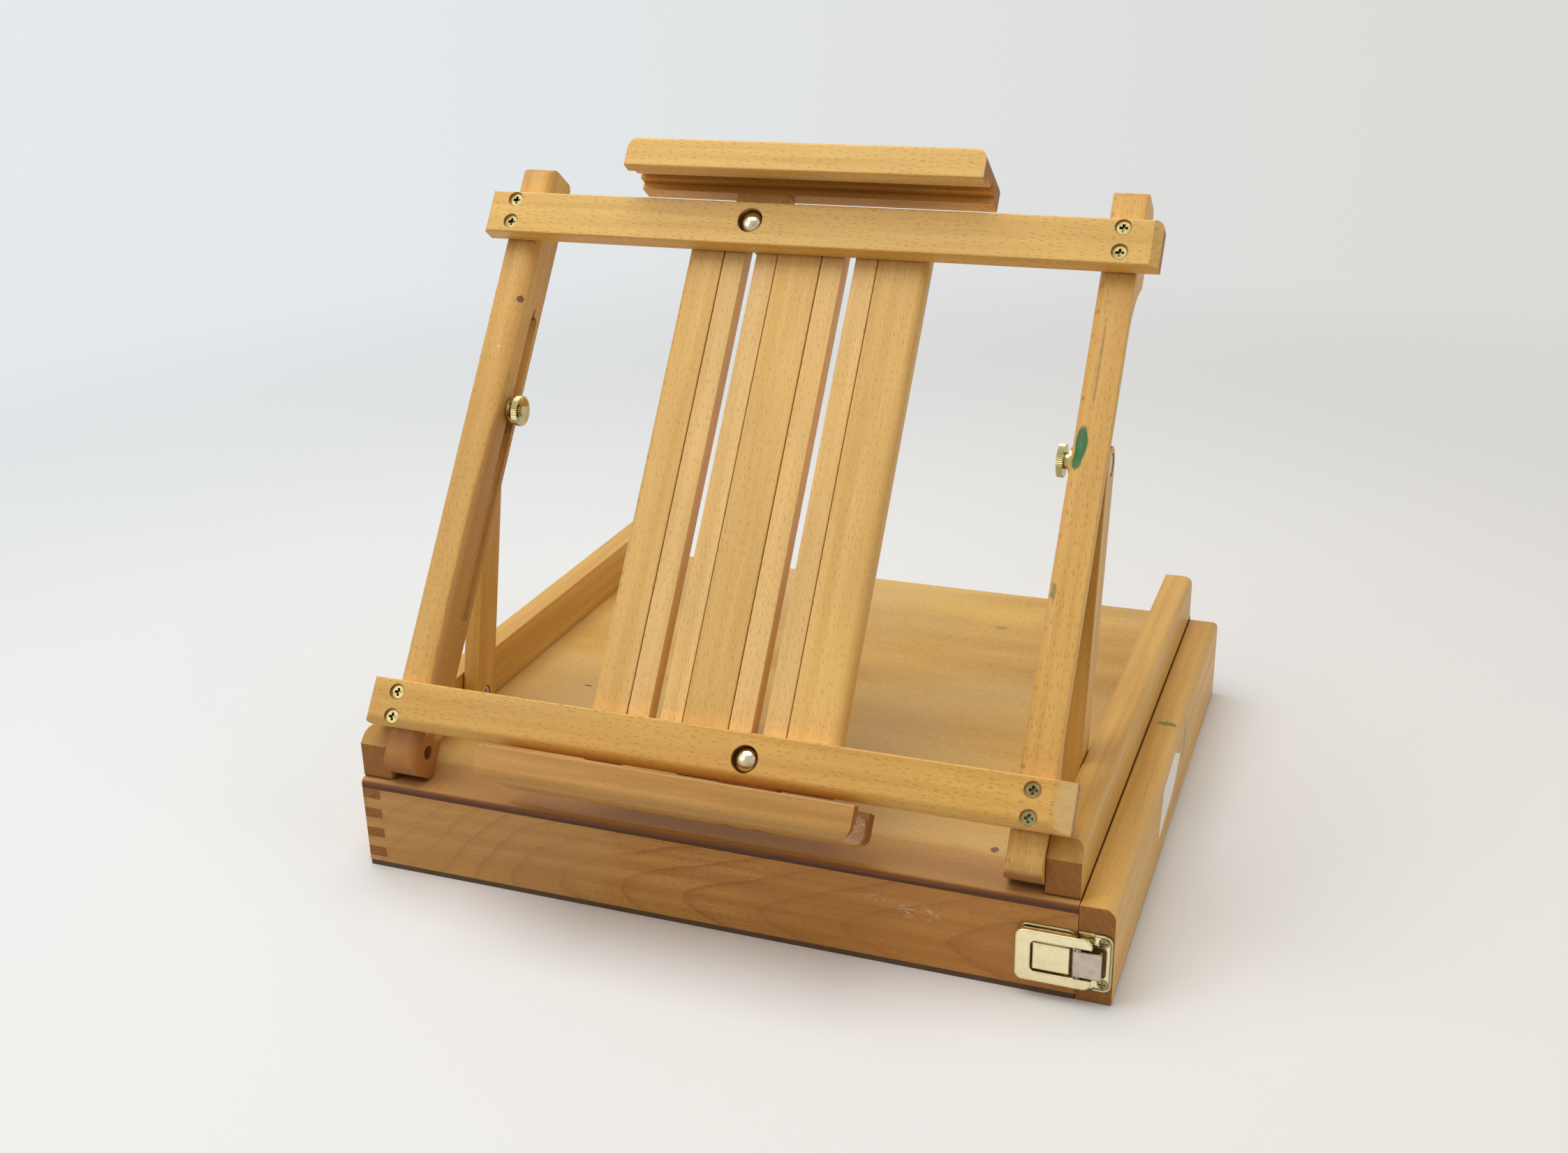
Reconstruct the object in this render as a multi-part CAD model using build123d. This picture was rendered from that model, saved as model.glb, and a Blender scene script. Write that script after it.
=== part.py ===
from build123d import *
import os
from math import acos, asin, atan2, cos, degrees, hypot, pi, radians, sin

# Table box easel: a beech box with one drawer, and a leaning easel frame that
# folds flat between two rails on its lid. Millimetres, +Z up, +X right, front
# of the easel towards -Y. Sizes and places below are measured from the left,
# front, bottom corner of the box. The finished part is moved so that its origin
# is the centre of the underside of the box.

# Box carcass
box_width = 405.0
box_depth = 356.0
base_thickness = 3.0
board_height = 44.2
board_thickness = 10.8
panel_thickness = 5.1
panel_edge_radius = 3.0
finger_height = 5.9
edge_break = 0.7
joint_clearance = 0.3

# Rails on the lid
rail_width = 16.8
rail_height = 27.7
rail_front_inset = 3.5
rail_back_inset = 3.0
rail_outer_radius = 5.0
rail_front_bevel = 8.0
rail_end_radius = 4.5
rail_screw_count = 3
rail_screw_inset = 45.0
rail_screw_radius = 1.9
rail_screw_reach = 18.0

# Drawer
drawer_front_thickness = 17.2
drawer_front_radius = 6.0
drawer_front_end_radius = 8.0
drawer_side_thickness = 8.0
drawer_side_height = 37.0
drawer_bottom_thickness = 3.0
drawer_side_gap = 0.5
drawer_end_gap = 1.2
divider_thickness = 5.0
divider_height = 30.0
tool_bay_depth = 118.0
tool_bay_count = 3

# Lean of the easel and the folding pivots
lean = 36.09
pivot_setback = 11.5
pivot_above_panel = 15.9
fold_clearance = 0.3
pivot_screw_radius = 2.5
pivot_head_radius = 3.5
pivot_head_thickness = 2.4
pivot_counterbore_radius = 3.75
pivot_counterbore_depth = 9.0
pivot_screw_rail_reach = 13.0
running_fit = 0.05

# Stiles: the two uprights of the easel frame
stile_width = 18.8
stile_depth = 23.7
stile_gap = 0.4
stile_foot = 13.1
stile_top = 335.2
stile_edge_radius = 1.0
stile_inner_edge_radius = 6.0
stile_top_bevel = 3.0
foot_front_radius = 9.5
foot_back_radius = 6.0
lip_thickness = 4.8
rebate_start = 60.0
rebate_end = 257.5
rebate_cutter_radius = 42.0
slot_start = 71.2
slot_end = 251.2
slot_half_width = 3.75
slot_bolt_play = 2.05

# Struts: the two props behind the stiles
strut_thickness = 9.8
strut_width = 18.6
strut_pivot_setback = 90.0
strut_bolt_height = 194.8
strut_head_radius = 4.2
strut_head_thickness = 2.4
slot_bolt_radius = 3.0
slot_bolt_neck_radius = 1.6
slot_bolt_head_radius = 5.5
slot_bolt_head_thickness = 2.4
bolt_thread_radius = 3.0
head_clearance = 0.4

# Knurled nuts and washers
nut_radius = 8.4
nut_thickness = 3.2
nut_dish_radius = 7.4
nut_dish_depth = 4.0
nut_neck_radius = 4.2
nut_neck_length = 2.4
nut_teeth = 52
nut_tooth_depth = 0.4
washer_radius = 7.0
washer_thickness = 1.2
bolt_end_stick_out = 0.5

# Crossbars
bar_start = 7.5
bar_end_inset = 5.8
bar_height = 24.5
bar_thickness = 10.9
lower_bar_foot = 9.1
upper_bar_foot = 290.3
lower_bar_radius = 5.0
bar_edge_radius = 1.0
bar_left_end_radius = 2.5
upper_bar_end_radius = 3.0
lower_bar_end_wear = 10.5
lower_bar_end_wear_depth = 4.0
upper_bar_end_wear = 4.5
bar_screw_left = 22.8
bar_screw_right_inset = 25.5
bar_screw_spacing = 13.2
upper_screw_centre = 303.5
lower_screw_centre = 20.4

# Screws that hold the crossbars, the mast, the clamp and the tray
screw_radius = 1.75
screw_hole_radius = 1.9
screw_head_radius = 3.45
screw_head_thickness = 2.3
screw_head_rim = 0.4
screw_recess_radius = 4.3
screw_recess_depth = 1.4
bar_screw_length = 28.0
mast_screw_length = 17.0
end_screw_length = 30.0
cross_slot_width = 1.4
cross_slot_length = 4.2
cross_slot_depth = 1.8

# Mast: three fixed boards with two sliding slats between them
mast_left_of_middle = 65.55
mast_gap = 0.3
mast_thickness = 10.0
outer_board_left = 20.9
slat_left_width = 30.3
centre_board_width = 24.6
slat_right_width = 30.8
outer_board_right = 27.2
mast_edge_radius = 5.0
mast_end_inset = 0.5
slat_slot_half_width = 3.25
left_slat_foot = 19.5
left_slot_start = 31.5
left_slot_end = 318.5
right_slat_top = 311.0
right_slot_start = 13.0
right_slot_end = 299.0
mast_bolt_radius = 2.95
mast_bolt_hole_radius = 3.1
mast_bolt_head_radius = 6.6
mast_bolt_head_height = 3.6
mast_bolt_rim = 0.4
mast_bolt_recess_radius = 7.0
mast_bolt_recess_depth = 3.8
upper_bolt_height = 304.2
lower_bolt_height = 20.4

# Canvas clamp and tray: one moulding used twice
moulding_depth = 38.0
moulding_height = 17.0
moulding_length = 198.7
step_depth = 4.0
groove_depth = 7.0
back_land = 9.5
groove_front = 15.1
groove_back = 20.2
front_land = 7.0
moulding_end_radius = 7.0
clamp_front_radius = 2.0
tray_front_radius = 6.0
clamp_height = 324.9
clamp_overhang = 35.3
tray_height = 5.4
tray_overhang = 42.6
end_screw_spacing = 16.0

# Case latch on the front right corner, its insets measured from the right-hand end of the box
latch_left_inset = 45.9
latch_foot = 9.3
latch_height = 27.7
plate_thickness = 0.8
plate_radius = 4.0
base_plate_inset = 1.0
base_plate_rise = 1.2
base_plate_right_inset = 17.8
lever_plate_height = 4.3
lever_plate_thickness = 0.8
lever_right_inset = 9.4
lever_window_left_inset = 38.5
lever_window_overrun = 5.0
lever_window_radius = 2.5
lever_arm_width = 5.5
lever_rim = 2.4
lever_rim_thickness = 1.0
lever_rim_right_inset = 17.0
lever_edge_radius = 0.4
latch_pivot_across_inset = 11.0
latch_pivot_out = 2.8
latch_pin_radius = 0.7
latch_ear_thickness = 0.9
latch_ear_start_inset = 22.0
latch_ear_root_inset = 0.5
bridge_left_inset = 38.1
bridge_right_inset = 19.6
bridge_out = 5.0
bridge_width = 15.3
bridge_crown_radius = 1.8
hook_left_inset = 18.2
hook_right_inset = 4.9
hook_width = 13.9
hook_out = 5.4
hook_plate_thickness = 1.2
hook_tip_out = 1.2
hook_eye_radius = 1.7
hook_pin_across_inset = 16.0
hook_pin_out = 3.3
strike_left_inset = 16.8
strike_right_inset = 0.4
strike_height = 30.5
strike_window_left_inset = 13.0
strike_window_right_inset = 3.6
strike_window_height = 16.0
strike_rim = 1.6
strike_rim_thickness = 0.9
strike_screw_across_inset = 4.7
strike_screw_spacing = 22.4
base_screw_across_inset = 41.7
base_screw_spacing = 16.0
latch_screw_radius = 1.3
latch_screw_head_radius = 2.5
latch_screw_head_height = 0.9
latch_screw_reach = 9.0
latch_screw_tip_length = 3.0
latch_screw_rim = 0.25
latch_screw_slot_length = 3.4
latch_screw_slot_width = 0.7

# Places worked out from the sizes above
carcass_width = box_width - drawer_front_thickness - joint_clearance
carcass_top = base_thickness + board_height
bar_length = carcass_width - bar_start - bar_end_inset
bar_screw_right = carcass_width - bar_screw_right_inset
mast_start = carcass_width / 2 - mast_left_of_middle
clamp_start = mast_start - clamp_overhang
tray_start = mast_start - tray_overhang
panel_top = carcass_top + panel_thickness
rail_top = panel_top + rail_height
pivot_height = panel_top + pivot_above_panel
stile_front = rail_height + fold_clearance - pivot_above_panel
stile_back = stile_front - stile_depth
stile_outer = rail_width + stile_gap
stile_inner = stile_outer + stile_width
strut_outer = rail_width + joint_clearance
strut_inner = strut_outer + strut_thickness
web_outer = strut_inner + joint_clearance
lip_back = stile_front - lip_thickness
bolt_line = lip_back - joint_clearance - strut_width / 2
slot_line = bolt_line - slot_bolt_play
bar_front = stile_front + bar_thickness
mast_back = stile_front - mast_thickness
slat_front = stile_front - joint_clearance
latch_middle = latch_foot + latch_height / 2
mirror_plane = Plane.YZ.offset(carcass_width / 2)

# Places of the latch along the front
latch_left = box_width - latch_left_inset
base_plate_right = box_width - base_plate_right_inset
lever_right = box_width - lever_right_inset
lever_window_left = box_width - lever_window_left_inset
lever_rim_right = box_width - lever_rim_right_inset
latch_pivot_across = box_width - latch_pivot_across_inset
latch_ear_start = box_width - latch_ear_start_inset
bridge_left = box_width - bridge_left_inset
bridge_right = box_width - bridge_right_inset
hook_left = box_width - hook_left_inset
hook_right = box_width - hook_right_inset
hook_pin_across = box_width - hook_pin_across_inset
strike_left = box_width - strike_left_inset
strike_right = box_width - strike_right_inset
strike_window_left = box_width - strike_window_left_inset
strike_window_right = box_width - strike_window_right_inset
strike_screw_across = box_width - strike_screw_across_inset
base_screw_across = box_width - base_screw_across_inset

# The easel frame is drawn lying down: X across, Y up the stiles from the fold
# pivot, Z towards the artist. This plane stands it up at its lean.
easel_plane = Plane(
    origin=(0, pivot_setback, pivot_height),
    x_dir=(1, 0, 0),
    z_dir=(0, -cos(radians(lean)), sin(radians(lean))),
)

# The strut runs from its pivot beside the rail to its bolt in the stile's slot.
bolt_point = easel_plane.from_local_coords(Vector(0, strut_bolt_height, bolt_line))
strut_pivot_height = pivot_height + bolt_line
strut_rise = bolt_point.Z - strut_pivot_height
strut_run = bolt_point.Y - strut_pivot_setback
strut_length = hypot(strut_rise, strut_run)
strut_lean = degrees(atan2(strut_run, strut_rise))
strut_plane = Plane(
    origin=(0, strut_pivot_setback, strut_pivot_height),
    x_dir=(1, 0, 0),
    z_dir=(0, -cos(radians(strut_lean)), sin(radians(strut_lean))),
)


def block(x, y, z):
    """A block between two values on each axis."""
    size = Box(x[1] - x[0], y[1] - y[0], z[1] - z[0], align=Align.MIN)
    return Pos(x[0], y[0], z[0]) * size


def rectangle(x, y):
    """A flat rectangle between two values on each axis."""
    return Pos((x[0] + x[1]) / 2, (y[0] + y[1]) / 2) * Rectangle(x[1] - x[0], y[1] - y[0])


def round_corners(sketch, *corners):
    """Round the sketch's corner nearest each (x, y, radius)."""
    for x, y, radius in corners:
        nearest = sketch.vertices().sort_by_distance((x, y, 0))[0]
        sketch = fillet(nearest, radius)
    return sketch


def prism_x(sketch, x):
    """A (y, z) outline made solid between two values of x."""
    return extrude(Plane.YZ.offset(x[0]) * sketch, amount=x[1] - x[0], dir=(1, 0, 0))


def prism_y(sketch, y):
    """An (x, z) outline made solid between two values of y."""
    far_end = Plane(origin=(0, y[1], 0), x_dir=(1, 0, 0), z_dir=(0, -1, 0))
    return extrude(far_end * sketch, amount=y[1] - y[0], dir=(0, -1, 0))


def prism_z(sketch, z):
    """An (x, y) outline made solid between two values of z."""
    return extrude(Plane.XY.offset(z[0]) * sketch, amount=z[1] - z[0], dir=(0, 0, 1))


def standing_rod(radius, length):
    """A round bar standing on Z = 0."""
    return Cylinder(radius, length, align=(Align.CENTER, Align.CENTER, Align.MIN))


def rod_x(radius, x, y, z):
    """A round bar along X."""
    return Pos(x[0], y, z) * Rot(0, 90, 0) * standing_rod(radius, x[1] - x[0])


def rod_y(radius, x, y, z):
    """A round bar along Y."""
    return Pos(x, y[0], z) * Rot(-90, 0, 0) * standing_rod(radius, y[1] - y[0])


def rod_z(radius, x, y, z):
    """A round bar along Z."""
    return Pos(x, y, z[0]) * standing_rod(radius, z[1] - z[0])


def turned(*outline):
    """A solid turned about Z from (radius, height) points; four values give an arc's middle and end."""
    edges = []
    start = outline[0]
    for step in outline[1:] + (outline[0],):
        if len(step) == 4:
            edges.append(ThreePointArc(start, step[:2], step[2:]))
            start = step[2:]
        else:
            edges.append(Line(start, step))
            start = step
    return revolve(Plane.XZ * make_face(edges), Axis.Z)


def dome(radius, foot, top):
    """The arc of a domed head, for turned: its middle and its end on the axis."""
    rise = top - foot
    ball = (radius ** 2 + rise ** 2) / (2 * rise)
    half_angle = asin(radius / ball) / 2
    return (ball * sin(half_angle), top - ball + ball * cos(half_angle), 0, top)


def slot_cutter(x, half_width, ends, depth):
    """A round-ended slot along Y, cut through along Z."""
    middle = rectangle((x - half_width, x + half_width), (ends[0] + half_width, ends[1] - half_width))
    low_end = Pos(x, ends[0] + half_width) * Circle(half_width)
    high_end = Pos(x, ends[1] - half_width) * Circle(half_width)
    return prism_z(middle + low_end + high_end, depth)


def cross_recess(top):
    """The cross-shaped driver slot in a screw head whose face is at this height."""
    long = cross_slot_length / 2
    thin = cross_slot_width / 2
    deep = (top - cross_slot_depth, top + 1)
    return block((-long, long), (-thin, thin), deep) + block((-thin, thin), (-long, long), deep)


def countersunk_screw(length, radius=screw_radius, head_radius=screw_head_radius):
    """A countersunk wood screw along -Z with its face at zero."""
    tip = -length
    body = turned(
        (0, 0), (head_radius, 0), (head_radius, -screw_head_rim), (radius, -screw_head_thickness),
        (radius, tip + 3 * radius), (0.2, tip), (0, tip),
    )
    return body - cross_recess(0)


def screw_hole(length, recess_depth, face_clearance=0.1):
    """What a countersunk screw needs cut from the wood, along -Z from the wood's face."""
    head = screw_head_radius + face_clearance
    seat = -recess_depth - screw_head_rim - face_clearance
    cone_foot = seat - (screw_head_thickness - screw_head_rim)
    floor = -recess_depth - length - 0.5
    return turned(
        (0, 1), (screw_recess_radius, 1), (screw_recess_radius, -recess_depth),
        (head, -recess_depth), (head, seat), (screw_hole_radius, cone_foot),
        (screw_hole_radius, floor), (0, floor),
    )


def knurled_nut(bore_radius):
    """A thumb nut standing on Z = 0: neck below, knurled head with a dished face above."""
    points = []
    for tooth in range(nut_teeth):
        angle = 2 * pi * tooth / nut_teeth
        half = pi / nut_teeth
        inner = nut_radius - nut_tooth_depth
        points.append((nut_radius * cos(angle), nut_radius * sin(angle)))
        points.append((inner * cos(angle + half), inner * sin(angle + half)))
    rim = make_face(Polyline(*points, close=True))
    top = nut_neck_length + nut_thickness
    head = prism_z(rim, (nut_neck_length, top))
    dish_floor = top - nut_dish_depth
    head -= turned((0, top + 1), (nut_dish_radius, top + 1), (nut_dish_radius, top), (0, dish_floor))
    neck = rod_z(nut_neck_radius, 0, 0, (0, nut_neck_length))
    return head + neck - rod_z(bore_radius, 0, 0, (-1, top + 1))


def washer(bore_radius):
    """A plain washer standing on Z = 0."""
    ring = Circle(washer_radius) - Circle(bore_radius)
    return prism_z(ring, (0, washer_thickness))


def board_fingers(x, y, first):
    """Every second finger of a corner joint, from the lid down: first is 0 or 1."""
    count = int(board_height / finger_height) + 1
    blocks = []
    for number in range(first, count, 2):
        high = carcass_top - number * finger_height
        low = max(high - finger_height, base_thickness)
        if high - low > 0.5:
            blocks.append(block(x, y, (low, high)))
    return blocks


def make_end_board(front):
    """Front or back board: it gives way to the side board's fingers at its left end."""
    y = (0, board_thickness) if front else (box_depth - board_thickness, box_depth)
    board = block((0, carcass_width), y, (base_thickness, carcass_top))
    for finger in board_fingers((-1, board_thickness), (y[0] - 1, y[1] + 1), 0):
        board -= finger
    return board


def make_side_board():
    """Left side board: its fingers fill the gaps in the front and back boards."""
    board = block((0, board_thickness), (0, box_depth), (base_thickness, carcass_top))
    for y in ((-1, board_thickness), (box_depth - board_thickness, box_depth + 1)):
        for finger in board_fingers((-1, board_thickness + 1), y, 1):
            board -= finger
    return board


def make_base_panel():
    """Thin bottom panel, its grain running across."""
    panel = block((0, carcass_width), (0, box_depth), (0, base_thickness))
    return fillet(panel.edges().filter_by(Axis.Z), edge_break)


def rail_screw_places():
    """Y of the hidden screws that hold each rail."""
    first = rail_screw_inset
    pitch = (box_depth - 2 * rail_screw_inset) / (rail_screw_count - 1)
    return [first + number * pitch for number in range(rail_screw_count)]


def rail_centres():
    """X of the middle of each rail."""
    return (rail_width / 2, carcass_width - rail_width / 2)


def make_top_panel():
    """Plywood lid with a rounded front edge and clearance holes for the rail screws."""
    outline = rectangle((0, box_depth), (carcass_top, panel_top))
    outline = round_corners(outline, (0, panel_top, panel_edge_radius), (0, carcass_top, edge_break))
    panel = prism_x(outline, (0, carcass_width))
    for x in rail_centres():
        for y in rail_screw_places():
            panel -= countersunk_hole_from_below(x, y)
    return panel


def countersunk_hole_from_below(x, y):
    """Clearance for a rail screw, driven up from inside the box."""
    clearance = 0.1
    face = carcass_top
    cut = turned(
        (0, -1), (screw_head_radius + clearance, -1), (screw_head_radius + clearance, 0.5),
        (rail_screw_radius + clearance, screw_head_thickness + clearance),
        (rail_screw_radius + clearance, panel_thickness + rail_screw_reach + 0.5),
        (0, panel_thickness + rail_screw_reach + 0.5),
    )
    return Pos(x, y, face) * cut


def make_rail_screws():
    """The hidden screws, heads flush with the underside of the lid."""
    screws = []
    for x in rail_centres():
        for y in rail_screw_places():
            screw = countersunk_screw(panel_thickness + rail_screw_reach, rail_screw_radius)
            screws.append(Pos(x, y, carcass_top) * Rot(180, 0, 0) * screw)
    return screws


def make_rail():
    """Left rail: rounded outer top edge, bevelled front end, holes for its pivots and screws."""
    section = rectangle((0, rail_width), (panel_top, rail_top))
    section = round_corners(
        section,
        (0, rail_top, rail_outer_radius), (rail_width, rail_top, edge_break), (0, panel_top, edge_break),
    )
    front = rail_front_inset
    back = box_depth - rail_back_inset
    rail = prism_y(section, (front, back))
    side = rectangle((front, back), (panel_top, rail_top))
    side = chamfer(side.vertices().sort_by_distance((front, rail_top, 0))[0], rail_front_bevel)
    side = round_corners(side, (back, rail_top, rail_end_radius), (front, panel_top, 1.5))
    rail &= prism_x(side, (-1, rail_width + 1))
    hole_radius = pivot_screw_radius + running_fit
    reach = (rail_width - pivot_screw_rail_reach - 0.5, rail_width + 1)
    rail -= rod_x(hole_radius, reach, pivot_setback, pivot_height)
    rail -= rod_x(hole_radius, reach, strut_pivot_setback, strut_pivot_height)
    for y in rail_screw_places():
        rail -= countersunk_hole_from_below(rail_width / 2, y)
    return rail


def make_drawer_front():
    """Thick end board of the drawer, rounded along its outer top edge and at its back corner."""
    x = (carcass_width + joint_clearance, box_width)
    z = (joint_clearance, panel_top)
    section = round_corners(rectangle(x, z), (x[1], z[1], drawer_front_radius), (x[0], z[1], edge_break),
                            (x[1], z[0], edge_break))
    board = prism_y(section, (0, box_depth))
    side = round_corners(rectangle((0, box_depth), z), (box_depth, z[1], drawer_front_end_radius),
                         (0, z[1], 1.5), (box_depth, z[0], 1.5))
    return board & prism_x(side, (x[0] - 1, x[1] + 1))


def drawer_limits():
    """The drawer box: x, y and z limits behind its front."""
    inner = board_thickness + drawer_side_gap
    x = (board_thickness + drawer_end_gap, carcass_width + joint_clearance)
    y = (inner, box_depth - inner)
    z = (base_thickness + joint_clearance, base_thickness + joint_clearance + drawer_bottom_thickness)
    return x, y, z


def make_drawer_bottom():
    """Thin drawer bottom under the sides."""
    x, y, z = drawer_limits()
    return block(x, y, z)


def make_drawer_side(front):
    """One long side of the drawer."""
    x, y, z = drawer_limits()
    near = (y[0], y[0] + drawer_side_thickness)
    far = (y[1] - drawer_side_thickness, y[1])
    return block(x, near if front else far, (z[1], z[1] + drawer_side_height))


def make_drawer_end():
    """The inner end of the drawer, between its sides."""
    x, y, z = drawer_limits()
    across = (x[0], x[0] + drawer_side_thickness)
    along = (y[0] + drawer_side_thickness, y[1] - drawer_side_thickness)
    return block(across, along, (z[1], z[1] + drawer_side_height))


def make_long_divider():
    """The long divider that closes off the row of small bays."""
    x, y, z = drawer_limits()
    near = y[0] + drawer_side_thickness + tool_bay_depth
    across = (x[0] + drawer_side_thickness, x[1])
    return block(across, (near, near + divider_thickness), (z[1], z[1] + divider_height))


def make_bay_dividers():
    """Short dividers between the small bays."""
    x, y, z = drawer_limits()
    left = x[0] + drawer_side_thickness
    pitch = (x[1] - left) / tool_bay_count
    near = y[0] + drawer_side_thickness
    dividers = []
    for number in range(1, tool_bay_count):
        middle = left + number * pitch
        across = (middle - divider_thickness / 2, middle + divider_thickness / 2)
        dividers.append(block(across, (near, near + tool_bay_depth), (z[1], z[1] + divider_height)))
    return dividers


def rebate_outline():
    """Side view (y, z) of the wood taken from a stile's outer back, with cutter run-outs."""
    cutter = rebate_cutter_radius
    turn = acos(1 - (lip_back - stile_back) / cutter)
    run_out = cutter * sin(turn)
    across = cutter * sin(turn / 2)
    up = lip_back - cutter * (1 - cos(turn / 2))
    past_back = stile_back - 1
    low = rebate_start
    high = rebate_end
    low_foot = (low - run_out, stile_back)
    high_foot = (high + run_out, stile_back)
    outline = [
        Line((low, lip_back), (high, lip_back)),
        ThreePointArc((high, lip_back), (high + across, up), high_foot),
        Line(high_foot, (high + run_out, past_back)),
        Line((high + run_out, past_back), (low - run_out, past_back)),
        Line((low - run_out, past_back), low_foot),
        ThreePointArc(low_foot, (low - across, up), (low, lip_back)),
    ]
    return make_face(outline)


def make_stile():
    """Left stile, lying down: rebated for the strut, slotted, with a rounded foot."""
    side = rectangle((-stile_foot, stile_top), (stile_back, stile_front))
    side = round_corners(
        side, (-stile_foot, stile_front, foot_front_radius), (-stile_foot, stile_back, foot_back_radius)
    )
    top_corners = [(stile_top, stile_front), (stile_top, stile_back)]
    for y, z in top_corners:
        side = chamfer(side.vertices().sort_by_distance((y, z, 0))[0], stile_top_bevel)
    stile = prism_x(side, (stile_outer, stile_inner))
    section = round_corners(
        rectangle((stile_outer, stile_inner), (stile_back, stile_front)),
        (stile_outer, stile_front, stile_edge_radius), (stile_inner, stile_front, stile_inner_edge_radius),
        (stile_outer, stile_back, edge_break), (stile_inner, stile_back, edge_break),
    )
    stile &= prism_y(section, (-stile_foot - 1, stile_top + 1))
    stile -= prism_x(rebate_outline(), (stile_outer - 1, web_outer))
    stile -= prism_x(slot_side_view(), (web_outer - 1, stile_inner + 1))
    stile -= rod_x(pivot_screw_radius + running_fit, (stile_outer - 1, stile_inner), 0, 0)
    counterbore = (stile_inner - pivot_counterbore_depth, stile_inner + 1)
    stile -= rod_x(pivot_counterbore_radius, counterbore, 0, 0)
    return stile


def slot_side_view():
    """Side view (y, z) of the slot in a stile's web."""
    r = slot_half_width
    middle = rectangle((slot_start + r, slot_end - r), (slot_line - r, slot_line + r))
    low_end = Pos(slot_start + r, slot_line) * Circle(r)
    high_end = Pos(slot_end - r, slot_line) * Circle(r)
    return middle + low_end + high_end


def stile_screw_cuts(side_x):
    """Holes in the stile under the crossbars, lying down."""
    cuts = []
    for height in screw_heights():
        cuts.append(Pos(side_x, height, bar_front) * screw_hole(bar_screw_length, screw_recess_depth))
    return cuts


def screw_heights():
    """Y of each crossbar screw, lying down."""
    half = bar_screw_spacing / 2
    return [
        lower_screw_centre - half, lower_screw_centre + half,
        upper_screw_centre - half, upper_screw_centre + half,
    ]


def make_pivot_screw():
    """Left fold pivot, lying down: a shouldered screw through the stile's foot into the rail."""
    seat = stile_inner - pivot_counterbore_depth + running_fit
    tip = rail_width - pivot_screw_rail_reach
    shank = rod_x(pivot_screw_radius, (tip, seat), 0, 0)
    head = rod_x(pivot_head_radius, (seat, seat + pivot_head_thickness), 0, 0)
    face = seat + pivot_head_thickness
    slot = block((face - 1.2, face + 1), (-1.9, 1.9), (-0.5, 0.5))
    return shank + head - slot


def make_strut():
    """Left strut, standing on its own plane: round ends, a counterbore at each pivot."""
    half = strut_width / 2
    outline = rectangle((0, strut_length), (-half, half)) + Circle(half) + Pos(strut_length, 0) * Circle(half)
    strut = prism_x(outline, (strut_outer, strut_inner))
    strut = fillet(strut.edges().filter_by(lambda edge: edge.length > half), edge_break)
    strut -= rod_x(pivot_screw_radius + running_fit, (strut_outer - 1, strut_inner + 1), 0, 0)
    inner_seat = (strut_inner - strut_head_thickness - head_clearance, strut_inner + 1)
    strut -= rod_x(strut_head_radius + head_clearance, inner_seat, 0, 0)
    strut -= rod_x(slot_bolt_radius + head_clearance / 2, (strut_outer - 1, strut_inner + 1), strut_length, 0)
    outer_seat = (strut_outer - 1, strut_outer + slot_bolt_head_thickness + head_clearance)
    strut -= rod_x(slot_bolt_head_radius + head_clearance, outer_seat, strut_length, 0)
    return strut


def make_strut_pivot():
    """Left strut pivot: a screw through the strut into the rail, head let in."""
    seat = strut_inner - strut_head_thickness - head_clearance + running_fit
    tip = rail_width - pivot_screw_rail_reach
    shank = rod_x(pivot_screw_radius, (tip, seat), 0, 0)
    head = rod_x(strut_head_radius, (seat, seat + strut_head_thickness), 0, 0)
    face = seat + strut_head_thickness
    slot = block((face - 1.2, face + 1), (-2.4, 2.4), (-0.5, 0.5))
    return shank + head - slot


def washer_place():
    """X of the face that the left side washer stands on."""
    return stile_inner + joint_clearance


def nut_place():
    """X of the face that the left side nut stands on."""
    return washer_place() + washer_thickness + joint_clearance


def make_slot_bolt():
    """Left slot bolt: head let into the strut, necked where it crosses the stile's web."""
    seat = strut_outer + slot_bolt_head_thickness + head_clearance - running_fit
    neck_start = strut_inner
    neck_end = stile_inner + joint_clearance / 2
    tip = nut_place() + nut_neck_length + nut_thickness + bolt_end_stick_out
    head = rod_x(slot_bolt_head_radius, (seat - slot_bolt_head_thickness, seat), strut_length, 0)
    shank = rod_x(slot_bolt_radius, (seat, neck_start), strut_length, 0)
    neck = rod_x(slot_bolt_neck_radius, (neck_start, neck_end), strut_length, 0)
    thread = rod_x(bolt_thread_radius, (neck_end, tip), strut_length, 0)
    return head + shank + neck + thread


def make_side_washer():
    """Left washer under the side nut."""
    ring = washer(bolt_thread_radius + 0.1)
    return Pos(washer_place(), strut_length, 0) * Rot(0, 90, 0) * ring


def make_side_nut():
    """Left side nut."""
    nut = knurled_nut(bolt_thread_radius + running_fit)
    return Pos(nut_place(), strut_length, 0) * Rot(0, 90, 0) * nut


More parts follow.
